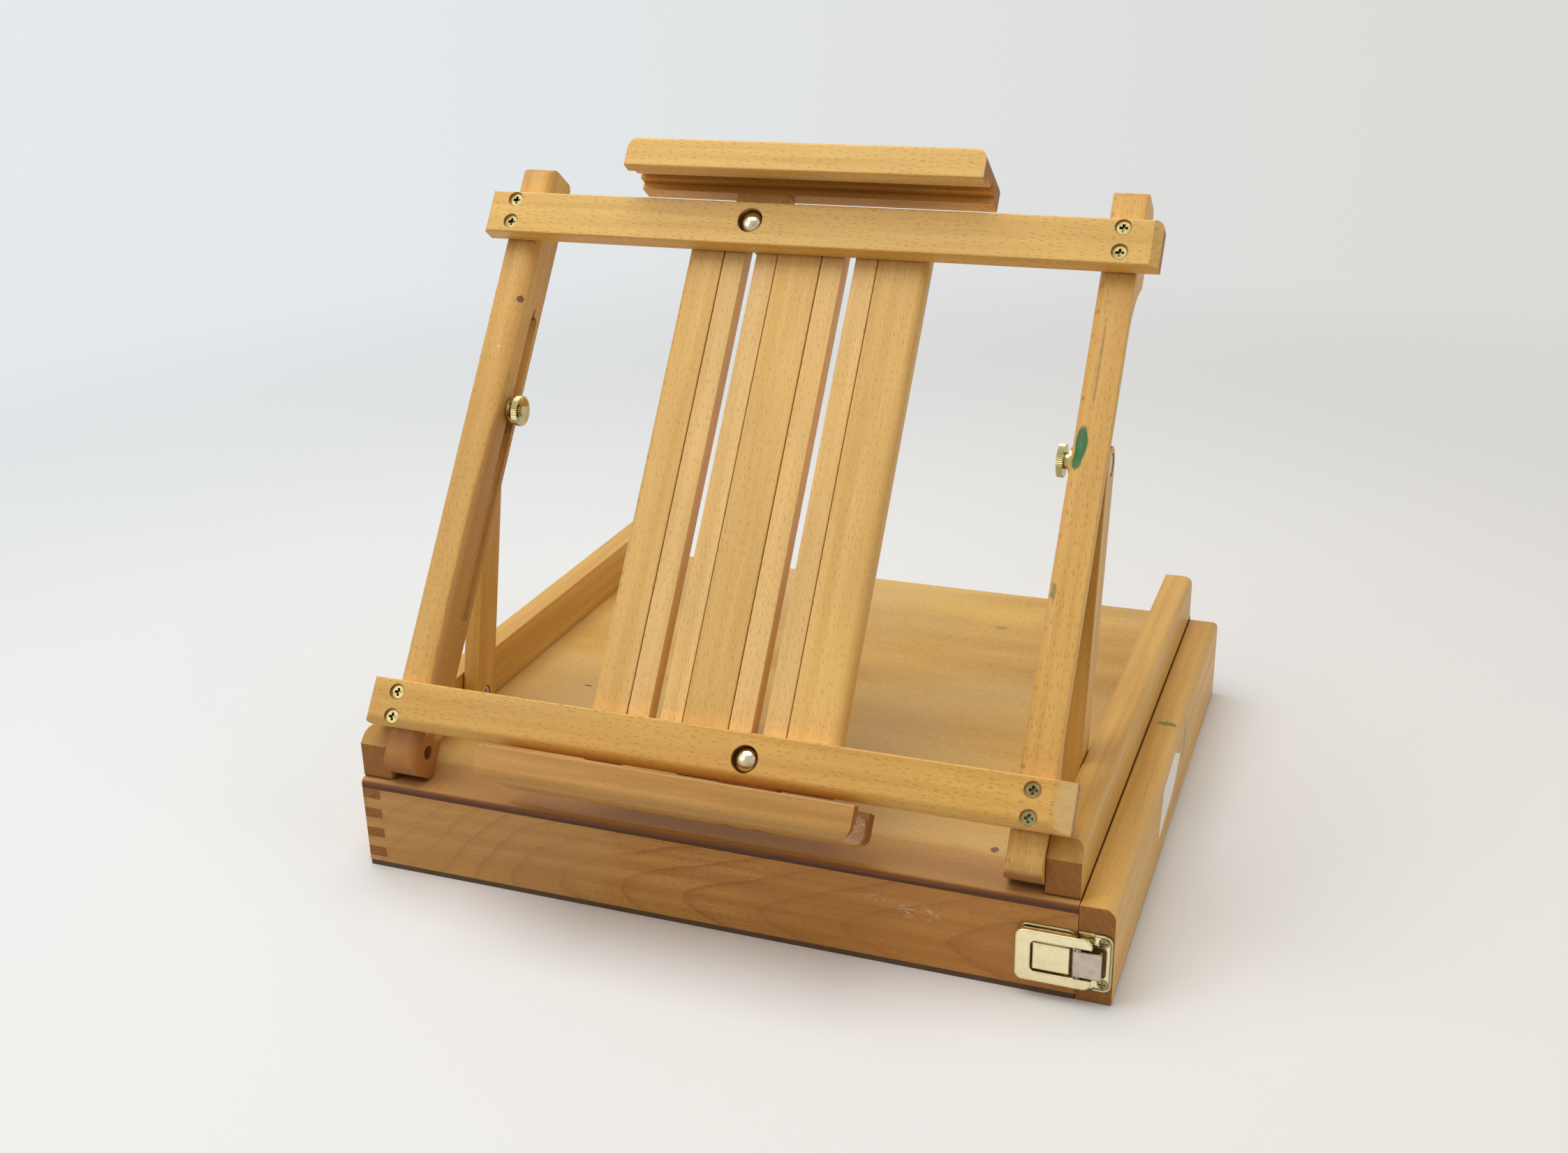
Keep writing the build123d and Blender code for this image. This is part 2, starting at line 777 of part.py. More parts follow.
def make_crossbar(foot, lower):
    """A crossbar lying down, across the fronts of both stiles."""
    x = (bar_start, bar_start + bar_length)
    y = (foot, foot + bar_height)
    bottom_radius = lower_bar_radius if lower else bar_edge_radius
    section = round_corners(
        rectangle(y, (stile_front, bar_front)),
        (y[0], bar_front, bottom_radius), (y[1], bar_front, bar_edge_radius),
        (y[0], stile_front, edge_break), (y[1], stile_front, edge_break),
    )
    bar = prism_x(section, x)
    face = rectangle(x, y)
    if not lower:
        face = round_corners(face, (x[1], y[1], upper_bar_end_radius))
    bar &= prism_z(face, (stile_front - 1, bar_front + 1))
    plan = round_corners(rectangle(x, (stile_front, bar_front)), (x[0], bar_front, bar_left_end_radius))
    bar &= prism_y(plan, (y[0] - 1, y[1] + 1))
    wear_across = lower_bar_end_wear if lower else upper_bar_end_wear
    wear_deep = lower_bar_end_wear_depth if lower else upper_bar_end_wear
    past_end = x[1] + 1
    past_face = bar_front + 0.01
    corner = [(x[1] - wear_across, past_face), (past_end, past_face), (past_end, bar_front - wear_deep)]
    bar -= prism_y(make_face(Polyline(*corner, close=True)), (y[0] - 1, y[1] + 1))
    centre = lower_screw_centre if lower else upper_screw_centre
    for side_x in (bar_screw_left, bar_screw_right):
        for offset in (-bar_screw_spacing / 2, bar_screw_spacing / 2):
            place = Pos(side_x, centre + offset, bar_front)
            bar -= place * screw_hole(bar_screw_length, screw_recess_depth)
    bolt_x, bolt_y = mast_bolt_place(lower)
    bar -= rod_z(mast_bolt_hole_radius, bolt_x, bolt_y, (stile_front - 1, bar_front + 1))
    recess = (bar_front - mast_bolt_recess_depth, bar_front + 1)
    bar -= rod_z(mast_bolt_recess_radius, bolt_x, bolt_y, recess)
    for x_board in fixed_board_centres():
        bar -= mast_screw_place(x_board, lower) * mast_screw_hole()
    return bar


def make_bar_screws():
    """The eight crossbar screws, lying down."""
    screws = []
    for side_x in (bar_screw_left, bar_screw_right):
        for height in screw_heights():
            place = Pos(side_x, height, bar_front - screw_recess_depth)
            screws.append(place * countersunk_screw(bar_screw_length))
    return screws


def mast_edges():
    """X limits of the mast's five boards, left to right."""
    widths = [outer_board_left, slat_left_width, centre_board_width, slat_right_width, outer_board_right]
    limits = []
    x = mast_start
    for width in widths:
        limits.append((x, x + width))
        x += width + mast_gap
    return limits


def middle(limits):
    """The middle of two values."""
    return (limits[0] + limits[1]) / 2


def fixed_board_centres():
    """X of the middle of the three fixed boards."""
    limits = mast_edges()
    return [middle(limits[0]), middle(limits[2]), middle(limits[4])]


def mast_bolt_place(lower):
    """X and Y of a mast bolt: the upper one holds the left slat, the lower one the right slat."""
    limits = mast_edges()
    if lower:
        return middle(limits[3]), lower_bolt_height
    return middle(limits[1]), upper_bolt_height


def mast_screw_place(x, lower):
    """Where a screw enters the back of a fixed board."""
    foot = lower_bar_foot if lower else upper_bar_foot
    return Pos(x, foot + bar_height / 2, mast_back) * Rot(180, 0, 0)


def mast_screw_hole():
    """Clearance for a screw through a fixed board into a crossbar."""
    return screw_hole(mast_screw_length, 0.0)


def board_section(x, z, left_radius, right_radius):
    """The (x, z) section of a mast board, with a radius on each front edge."""
    return round_corners(
        rectangle(x, z),
        (x[0], z[1], left_radius), (x[1], z[1], right_radius),
        (x[0], z[0], edge_break), (x[1], z[0], edge_break),
    )


def make_fixed_board(number):
    """One of the three boards fixed behind both crossbars; the outer two have one rounded edge."""
    x = mast_edges()[number]
    y = (lower_bar_foot + mast_end_inset, upper_bar_foot + bar_height - mast_end_inset)
    z = (mast_back, stile_front)
    left_radius = mast_edge_radius if number == 0 else edge_break
    right_radius = mast_edge_radius if number == 4 else edge_break
    section = board_section(x, z, left_radius, right_radius)
    board = prism_y(section, y)
    for lower in (True, False):
        board -= mast_screw_place(middle(x), lower) * mast_screw_hole()
    return board


def make_mast_screws():
    """The six screws through the backs of the fixed boards."""
    screws = []
    for x in fixed_board_centres():
        for lower in (True, False):
            screws.append(mast_screw_place(x, lower) * countersunk_screw(mast_screw_length))
    return screws


def make_slat(number, ends, slot_ends):
    """A sliding slat with its long bolt slot."""
    x = mast_edges()[number]
    z = (mast_back, slat_front)
    slat = prism_y(board_section(x, z, edge_break, edge_break), ends)
    return slat - slot_cutter(middle(x), slat_slot_half_width, slot_ends, (z[0] - 1, z[1] + 1))


def make_mast_bolt(lower):
    """A carriage bolt through a crossbar and a slat's slot, its domed head let into the bar."""
    x, y = mast_bolt_place(lower)
    seat = bar_front - mast_bolt_recess_depth
    nut_face = mast_back - 2 * joint_clearance - washer_thickness - nut_neck_length - nut_thickness
    tip = nut_face - bolt_end_stick_out
    r = mast_bolt_head_radius
    head = turned((0, 0), (r, 0), (r, mast_bolt_rim), dome(r, mast_bolt_rim, mast_bolt_head_height))
    return Pos(x, y, seat) * head + rod_z(mast_bolt_radius, x, y, (tip, seat))


def make_mast_washer(lower):
    """Washer behind the mast."""
    x, y = mast_bolt_place(lower)
    back = mast_back - joint_clearance
    return Pos(x, y, back) * Rot(180, 0, 0) * washer(mast_bolt_radius + 0.1)


def make_mast_nut(lower):
    """Knurled nut behind the mast."""
    x, y = mast_bolt_place(lower)
    back = mast_back - 2 * joint_clearance - washer_thickness
    return Pos(x, y, back) * Rot(180, 0, 0) * knurled_nut(mast_bolt_radius + running_fit)


def moulding_section(open_face, closed_face):
    """Side view (y, z) of the clamp and tray moulding; its groove opens at open_face."""
    into = 1 if closed_face > open_face else -1
    back = mast_back
    step = open_face + into * step_depth
    floor = open_face + into * groove_depth
    front = back + moulding_depth
    points = [
        (open_face, back), (open_face, back + back_land), (step, back + back_land),
        (step, back + groove_front), (floor, back + groove_front), (floor, back + groove_back),
        (step, back + groove_back), (step, front - front_land), (open_face, front - front_land),
        (open_face, front), (closed_face, front), (closed_face, back),
    ]
    return make_face(Polyline(*points, close=True))


def make_moulding(start, open_face, closed_face, closed_front_radius, slat_x):
    """The grooved moulding of the clamp or the tray, with its two end screws' holes."""
    front = mast_back + moulding_depth
    section = round_corners(
        moulding_section(open_face, closed_face),
        (closed_face, front, closed_front_radius), (closed_face, mast_back, 1.5), (open_face, front, 1.0),
    )
    x = (start, start + moulding_length)
    bar = prism_x(section, x)
    past_open = open_face + (2 if open_face > closed_face else -2)
    face = round_corners(
        rectangle(x, sorted((past_open, closed_face))),
        (x[0], closed_face, moulding_end_radius), (x[1], closed_face, moulding_end_radius),
    )
    bar &= prism_z(face, (mast_back - 1, front + 1))
    for place in end_screw_places(slat_x, closed_face, open_face):
        bar -= place * screw_hole(end_screw_length, 0.0)
    return bar


def end_screw_places(slat_x, closed_face, open_face):
    """Where the two screws enter a moulding's closed face on their way into the slat's end."""
    turn = Rot(-90, 0, 0) if closed_face > open_face else Rot(90, 0, 0)
    depth = (mast_back + slat_front) / 2
    half = end_screw_spacing / 2
    return [Pos(slat_x + offset, closed_face, depth) * turn for offset in (-half, half)]


def make_end_screws(slat_x, closed_face, open_face):
    """The two screws of a moulding."""
    places = end_screw_places(slat_x, closed_face, open_face)
    return [place * countersunk_screw(end_screw_length) for place in places]


def clamp_faces():
    """Open and closed faces of the clamp, up the stiles."""
    return clamp_height, clamp_height + moulding_height


def tray_faces():
    """Open and closed faces of the tray, up the stiles."""
    return tray_height, tray_height - moulding_height


def latch_outline(x, z, radius):
    """A rounded rectangle on the front face."""
    return round_corners(
        rectangle(x, z),
        (x[0], z[0], radius), (x[0], z[1], radius), (x[1], z[0], radius), (x[1], z[1], radius),
    )


def latch_screw_places():
    """X and Z of the four latch screws: two in the strike, two under the lever."""
    strike = []
    base = []
    for way in (-0.5, 0.5):
        strike.append((strike_screw_across, latch_middle + way * strike_screw_spacing))
        base.append((base_screw_across, latch_middle + way * base_screw_spacing))
    return strike, base


def latch_screw(x, z):
    """A small cross-head screw into the front face."""
    head = turned(
        (0, 0), (latch_screw_head_radius, 0), (latch_screw_head_radius, latch_screw_rim),
        dome(latch_screw_head_radius, latch_screw_rim, latch_screw_head_height),
    )
    long = latch_screw_slot_length / 2
    thin = latch_screw_slot_width / 2
    deep = (latch_screw_rim, latch_screw_head_height + 1)
    recess = block((-long, long), (-thin, thin), deep) + block((-thin, thin), (-long, long), deep)
    tip = -latch_screw_reach
    taper = tip + latch_screw_tip_length
    shank = turned((0, 0), (latch_screw_radius, 0), (latch_screw_radius, taper), (0.2, tip), (0, tip))
    return Pos(x, -plate_thickness, z) * Rot(90, 0, 0) * (head + shank - recess)


def latch_screw_hole(x, z):
    """Clearance for a latch screw in the wood and the plate."""
    return rod_y(latch_screw_radius + 0.1, x, (-plate_thickness - 1, latch_screw_reach), z)


def flange_limits():
    """Z limits of the lever's two flanges, turned down from the edges of its window."""
    low = latch_foot + lever_arm_width
    high = latch_foot + latch_height - lever_arm_width
    return (low - latch_ear_thickness, low), (high, high + latch_ear_thickness)


def ear_limits():
    """Z limits of the base plate's two ears, just outside the flanges."""
    low, high = flange_limits()
    outside = latch_ear_thickness + joint_clearance
    return (low[0] - outside, low[0] - joint_clearance), (high[1] + joint_clearance, high[1] + outside)


def pin_hole(x, out):
    """A running hole for a latch pin, along Z."""
    return rod_z(latch_pin_radius + running_fit, x, -out, (latch_foot, latch_foot + latch_height))


def make_latch_base():
    """Base plate on the front board, with a raised bridge and two pivot ears past the seam."""
    x = (latch_left + base_plate_inset, base_plate_right)
    z = (latch_foot + base_plate_inset, latch_foot + latch_height + base_plate_rise)
    plate = prism_y(latch_outline(x, z, plate_radius), (-plate_thickness, 0))
    half = bridge_width / 2
    bridge_z = (latch_middle - half, latch_middle + half)
    bridge = block((bridge_left, bridge_right), (-bridge_out, -plate_thickness), bridge_z)
    crown = bridge.faces().sort_by(Axis.Y)[0].edges()
    plate += fillet(crown, bridge_crown_radius)
    # The ears end within the sweep of the lever plate's inner face about the pin.
    top = joint_clearance - lever_plate_height
    nose = lever_plate_height - joint_clearance - latch_pivot_out
    tip = latch_pivot_across + nose
    arm = rectangle((latch_ear_start, tip), (top, -plate_thickness - joint_clearance))
    arm = round_corners(arm, (tip, top, nose - 0.1))
    root = rectangle((latch_ear_start, base_plate_right - latch_ear_root_inset), (top, -plate_thickness))
    for ear in ear_limits():
        plate += prism_z(arm + root, ear)
    plate -= pin_hole(latch_pivot_across, latch_pivot_out)
    for x_screw, z_screw in latch_screw_places()[1]:
        plate -= latch_screw_hole(x_screw, z_screw)
    return plate


def make_latch_lever():
    """U-shaped lever plate with its rim turned towards the board, open towards the hook."""
    z = (latch_foot, latch_foot + latch_height)
    out = (-lever_plate_height - lever_plate_thickness, -lever_plate_height)
    outer = latch_outline((latch_left, lever_right), z, plate_radius)
    plate = prism_y(outer, out)
    window_z = (flange_limits()[0][1], flange_limits()[1][0])
    window = round_corners(
        rectangle((lever_window_left, lever_right + lever_window_overrun), window_z),
        (lever_window_left, window_z[0], lever_window_radius),
        (lever_window_left, window_z[1], lever_window_radius),
    )
    plate -= prism_y(window, (out[0] - 1, out[1] + 1))
    plate = fillet(plate.faces().sort_by(Axis.Y)[0].edges(), lever_edge_radius)
    thin = lever_rim_thickness
    past_right = lever_right + 2 * plate_radius
    inner = latch_outline((latch_left + thin, past_right), (z[0] + thin, z[1] - thin), plate_radius - thin)
    rim = (outer - inner) & rectangle((latch_left - 1, lever_rim_right), (z[0] - 1, z[1] + 1))
    plate += prism_y(rim, (-lever_plate_height, lever_rim - lever_plate_height))
    end_radius = lever_right - latch_pivot_across
    start = bridge_right + joint_clearance
    for flange in flange_limits():
        side = rectangle((start, lever_right), (-lever_plate_height, end_radius - latch_pivot_out))
        side = round_corners(side, (lever_right, end_radius - latch_pivot_out, end_radius - 0.1))
        plate += prism_z(side, flange)
    return plate - pin_hole(latch_pivot_across, latch_pivot_out) - pin_hole(hook_pin_across, hook_pin_out)


def make_latch_pin():
    """Steel pin through the lever's flanges and the base plate's ears."""
    low, high = ear_limits()
    return rod_z(latch_pin_radius, latch_pivot_across, -latch_pivot_out, (low[0] - 0.4, high[1] + 0.4))


def make_hook_pin():
    """Steel pin on which the hook rides, its ends in the lever's flanges."""
    low, high = flange_limits()
    return rod_z(latch_pin_radius, hook_pin_across, -hook_pin_out, (low[0] + 0.2, high[1] - 0.2))


def make_latch_hook():
    """Grey steel hook plate with a curled root and a tip turned towards the strike."""
    half = hook_width / 2
    plate_profile = rectangle((hook_left, hook_right), (-hook_out, hook_plate_thickness - hook_out))
    plate_profile += rectangle((hook_right - hook_plate_thickness, hook_right), (-hook_out, -hook_tip_out))
    plate_profile = round_corners(plate_profile, (hook_right, -hook_out, 1.0), (hook_left, -hook_out, 0.5))
    hook = prism_z(plate_profile, (latch_middle - half, latch_middle + half))
    low, high = flange_limits()
    eye_z = (low[1] + joint_clearance, high[0] - joint_clearance)
    hook += rod_z(hook_eye_radius, hook_pin_across, -hook_pin_out, eye_z)
    return hook - pin_hole(hook_pin_across, hook_pin_out)


def make_strike():
    """Strike plate on the drawer front, open in the middle under the hook, with a raised rim."""
    x = (strike_left, strike_right)
    z = (latch_middle - strike_height / 2, latch_middle + strike_height / 2)
    outline = round_corners(rectangle(x, z), (x[1], z[0], plate_radius), (x[1], z[1], plate_radius))
    plate = prism_y(outline, (-plate_thickness, 0))
    half = strike_window_height / 2
    window = round_corners(
        rectangle((strike_window_left, strike_window_right), (latch_middle - half, latch_middle + half)),
        (strike_window_right, latch_middle - half, 1.5), (strike_window_right, latch_middle + half, 1.5),
    )
    plate -= prism_y(window, (-plate_thickness - 1, 1))
    thin = strike_rim_thickness
    inner = round_corners(
        rectangle((x[0] - 1, x[1] - thin), (z[0] + thin, z[1] - thin)),
        (x[1] - thin, z[0] + thin, plate_radius - thin), (x[1] - thin, z[1] - thin, plate_radius - thin),
    )
    rim = (outline - inner) & rectangle((lever_right + joint_clearance, x[1]), z)
    plate += prism_y(rim, (-strike_rim, -plate_thickness))
    for x_screw, z_screw in latch_screw_places()[0]:
        plate -= latch_screw_hole(x_screw, z_screw)
    return plate


def lean_back(shape):
    """Stand a piece of the easel frame at its lean."""
    return easel_plane.location * shape


def stand_strut(shape):
    """Put a piece of the strut assembly on its pivot."""
    return strut_plane.location * shape


def other_side(shape):
    """The right-hand twin of a left-hand piece."""
    return mirror(shape, about=mirror_plane)


def make_parts():
    """Every piece by name, measured from the corner of the box."""
    parts = {}
    strike_places, base_places = latch_screw_places()

    front_board = make_end_board(True)
    for x, z in base_places:
        front_board -= latch_screw_hole(x, z)
    drawer_front = make_drawer_front()
    for x, z in strike_places:
        drawer_front -= latch_screw_hole(x, z)
    parts["front_board"] = front_board
    parts["back_board"] = make_end_board(False)
    parts["side_board"] = make_side_board()
    parts["base_panel"] = make_base_panel()
    parts["top_panel"] = make_top_panel()
    rail = make_rail()
    parts["rail_left"] = rail
    parts["rail_right"] = other_side(rail)
    parts["rail_screws"] = make_rail_screws()

    parts["drawer_front"] = drawer_front
    parts["drawer_bottom"] = make_drawer_bottom()
    parts["drawer_side_front"] = make_drawer_side(True)
    parts["drawer_side_back"] = make_drawer_side(False)
    parts["drawer_end"] = make_drawer_end()
    parts["drawer_long_divider"] = make_long_divider()
    parts["drawer_bay_dividers"] = make_bay_dividers()

    parts["latch_base"] = make_latch_base()
    parts["latch_pin"] = make_latch_pin()
    parts["latch_lever"] = make_latch_lever()
    parts["latch_hook_pin"] = make_hook_pin()
    parts["latch_hook"] = make_latch_hook()
    parts["latch_strike"] = make_strike()
    parts["latch_base_screws"] = [latch_screw(x, z) for x, z in base_places]
    parts["latch_strike_screws"] = [latch_screw(x, z) for x, z in strike_places]

    stile_left = make_stile()
    stile_right = other_side(stile_left)
    for cut in stile_screw_cuts(bar_screw_left):
        stile_left -= cut
    for cut in stile_screw_cuts(bar_screw_right):
        stile_right -= cut
    parts["stile_left"] = lean_back(stile_left)
    parts["stile_right"] = lean_back(stile_right)
    parts["crossbar_upper"] = lean_back(make_crossbar(upper_bar_foot, False))
    parts["crossbar_lower"] = lean_back(make_crossbar(lower_bar_foot, True))
    parts["crossbar_screws"] = [lean_back(screw) for screw in make_bar_screws()]
    parts["mast_board_left"] = lean_back(make_fixed_board(0))
    parts["mast_board_centre"] = lean_back(make_fixed_board(2))
    parts["mast_board_right"] = lean_back(make_fixed_board(4))
    parts["mast_screws"] = [lean_back(screw) for screw in make_mast_screws()]
    parts["mast_bolt_upper"] = lean_back(make_mast_bolt(False))
    parts["mast_bolt_lower"] = lean_back(make_mast_bolt(True))
    parts["mast_washer_upper"] = lean_back(make_mast_washer(False))
    parts["mast_washer_lower"] = lean_back(make_mast_washer(True))
    parts["mast_nut_upper"] = lean_back(make_mast_nut(False))
    parts["mast_nut_lower"] = lean_back(make_mast_nut(True))

    clamp_open, clamp_closed = clamp_faces()
    tray_open, tray_closed = tray_faces()
    left_middle = middle(mast_edges()[1])
    right_middle = middle(mast_edges()[3])
    slat_left = make_slat(1, (left_slat_foot, clamp_open), (left_slot_start, left_slot_end))
    slat_right = make_slat(3, (tray_open, right_slat_top), (right_slot_start, right_slot_end))
    for place in end_screw_places(left_middle, clamp_closed, clamp_open):
        slat_left -= place * screw_hole(end_screw_length, 0.0)
    for place in end_screw_places(right_middle, tray_closed, tray_open):
        slat_right -= place * screw_hole(end_screw_length, 0.0)
    parts["slat_left"] = lean_back(slat_left)
    parts["slat_right"] = lean_back(slat_right)
    clamp = make_moulding(clamp_start, clamp_open, clamp_closed, clamp_front_radius, left_middle)
    tray = make_moulding(tray_start, tray_open, tray_closed, tray_front_radius, right_middle)
    parts["canvas_clamp"] = lean_back(clamp)
    parts["canvas_tray"] = lean_back(tray)
    parts["clamp_screws"] = [lean_back(s) for s in make_end_screws(left_middle, clamp_closed, clamp_open)]
    parts["tray_screws"] = [lean_back(s) for s in make_end_screws(right_middle, tray_closed, tray_open)]

    pivot = lean_back(make_pivot_screw())
    strut_pivot = stand_strut(make_strut_pivot())
    parts["fold_pivots"] = [pivot, other_side(pivot)]
    parts["strut_pivots"] = [strut_pivot, other_side(strut_pivot)]
    for name, piece in (
        ("strut", make_strut()), ("slot_bolt", make_slot_bolt()), ("side_washer", make_side_washer()),
        ("side_nut", make_side_nut()),
    ):
        left = stand_strut(piece)
        parts[name + "_left"] = left
        parts[name + "_right"] = other_side(left)
    return parts


def write_part(name, piece):
    """Move a piece to the part's own origin and write it."""
    to_origin = Pos(-box_width / 2, -box_depth / 2, 0)
    solids = []
    for item in piece if isinstance(piece, list) else [piece]:
        solids.extend((to_origin * item).solids())
    shape = solids[0] if len(solids) == 1 else Compound(children=solids)
    shape.label = name
    export_step(shape, "parts/" + name + ".step")


os.makedirs("parts", exist_ok=True)
for part_name, part_piece in make_parts().items():
    write_part(part_name, part_piece)
print("strut length", round(strut_length, 3), "strut lean", round(strut_lean, 3))
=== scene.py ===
"""Looks of a table box easel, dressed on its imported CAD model.

The wooden boards, the metal fittings and the thin base keep their CAD shapes and get
procedural finishes here. Sizes are in metres, in the frame of the CAD model.
"""

import logging
import math
from dataclasses import dataclass, replace
from enum import Enum
from functools import cache
from typing import ClassVar

import bpy
from mathutils import Matrix, Vector

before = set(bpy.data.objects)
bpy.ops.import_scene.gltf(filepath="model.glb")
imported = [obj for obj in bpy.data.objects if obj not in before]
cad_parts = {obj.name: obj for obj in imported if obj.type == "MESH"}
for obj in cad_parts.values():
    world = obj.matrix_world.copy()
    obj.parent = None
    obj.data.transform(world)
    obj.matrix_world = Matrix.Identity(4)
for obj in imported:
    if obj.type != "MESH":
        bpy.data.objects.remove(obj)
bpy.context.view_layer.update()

LOG = logging.getLogger("easel")

MM = 0.001
EASEL_LEAN = math.radians(36.09)
STRUT_LEAN = math.radians(13.53)
RIGHT = Vector((1, 0, 0))
UP = Vector((0, 0, 1))
FORWARD = Vector((0, -1, 0))

NOISE_MIDDLE = 0.5
SOFT_DETAIL = 2.0
FINE_DETAIL = 3.0

SRGB_KNEE = 0.04045
SRGB_SLOPE = 12.92
SRGB_OFFSET = 0.055
SRGB_POWER = 2.4

Socket = bpy.types.NodeSocket
Colour = tuple[float, float, float, float]
Triple = tuple[float, float, float]
Pair = tuple[float, float]


def linear(hex_colour: str) -> Colour:
    """Turn an sRGB hex colour into the linear one that shaders expect.

    Args:
        hex_colour: A colour such as "#dfb16c".

    Returns:
        Red, green, blue and alpha, linear.
    """
    values = []
    for start in (1, 3, 5):
        value = int(hex_colour[start:start + 2], 16) / 255
        if value <= SRGB_KNEE:
            values.append(value / SRGB_SLOPE)
        else:
            values.append(((value + SRGB_OFFSET) / (1 + SRGB_OFFSET)) ** SRGB_POWER)
    return (values[0], values[1], values[2], 1.0)


class Grain(Enum):
    """The direction of a board's fibres at rest, and the direction across its face."""

    ALONG_X = (Vector((1, 0, 0)), Vector((0, 0, 1)))
    ALONG_X_FLAT = (Vector((1, 0, 0)), Vector((0, 1, 0)))
    ALONG_Y = (Vector((0, 1, 0)), Vector((1, 0, 0)))
    ALONG_Y_UPRIGHT = (Vector((0, 1, 0)), Vector((0, 0, 1)))
    UP_EASEL = (Vector((0, math.sin(EASEL_LEAN), math.cos(EASEL_LEAN))), Vector((1, 0, 0)))
    ACROSS_EASEL = (Vector((1, 0, 0)), Vector((0, math.sin(EASEL_LEAN), math.cos(EASEL_LEAN))))
    UP_STRUT = (Vector((0, math.sin(STRUT_LEAN), math.cos(STRUT_LEAN))), Vector((1, 0, 0)))

    @property
    def fibre(self) -> Vector:
        """Direction of the fibres."""
        return self.value[0]

    @property
    def across(self) -> Vector:
        """Direction across the board's face."""
        return self.value[1]

    @property
    def through(self) -> Vector:
        """Direction through the board's thickness."""
        return self.fibre.cross(self.across)

    def place(self, point: Triple) -> Vector:
        """Give a point of the frame in the board's own directions."""
        spot = Vector(point)
        return Vector((spot.dot(self.fibre), spot.dot(self.across), spot.dot(self.through)))


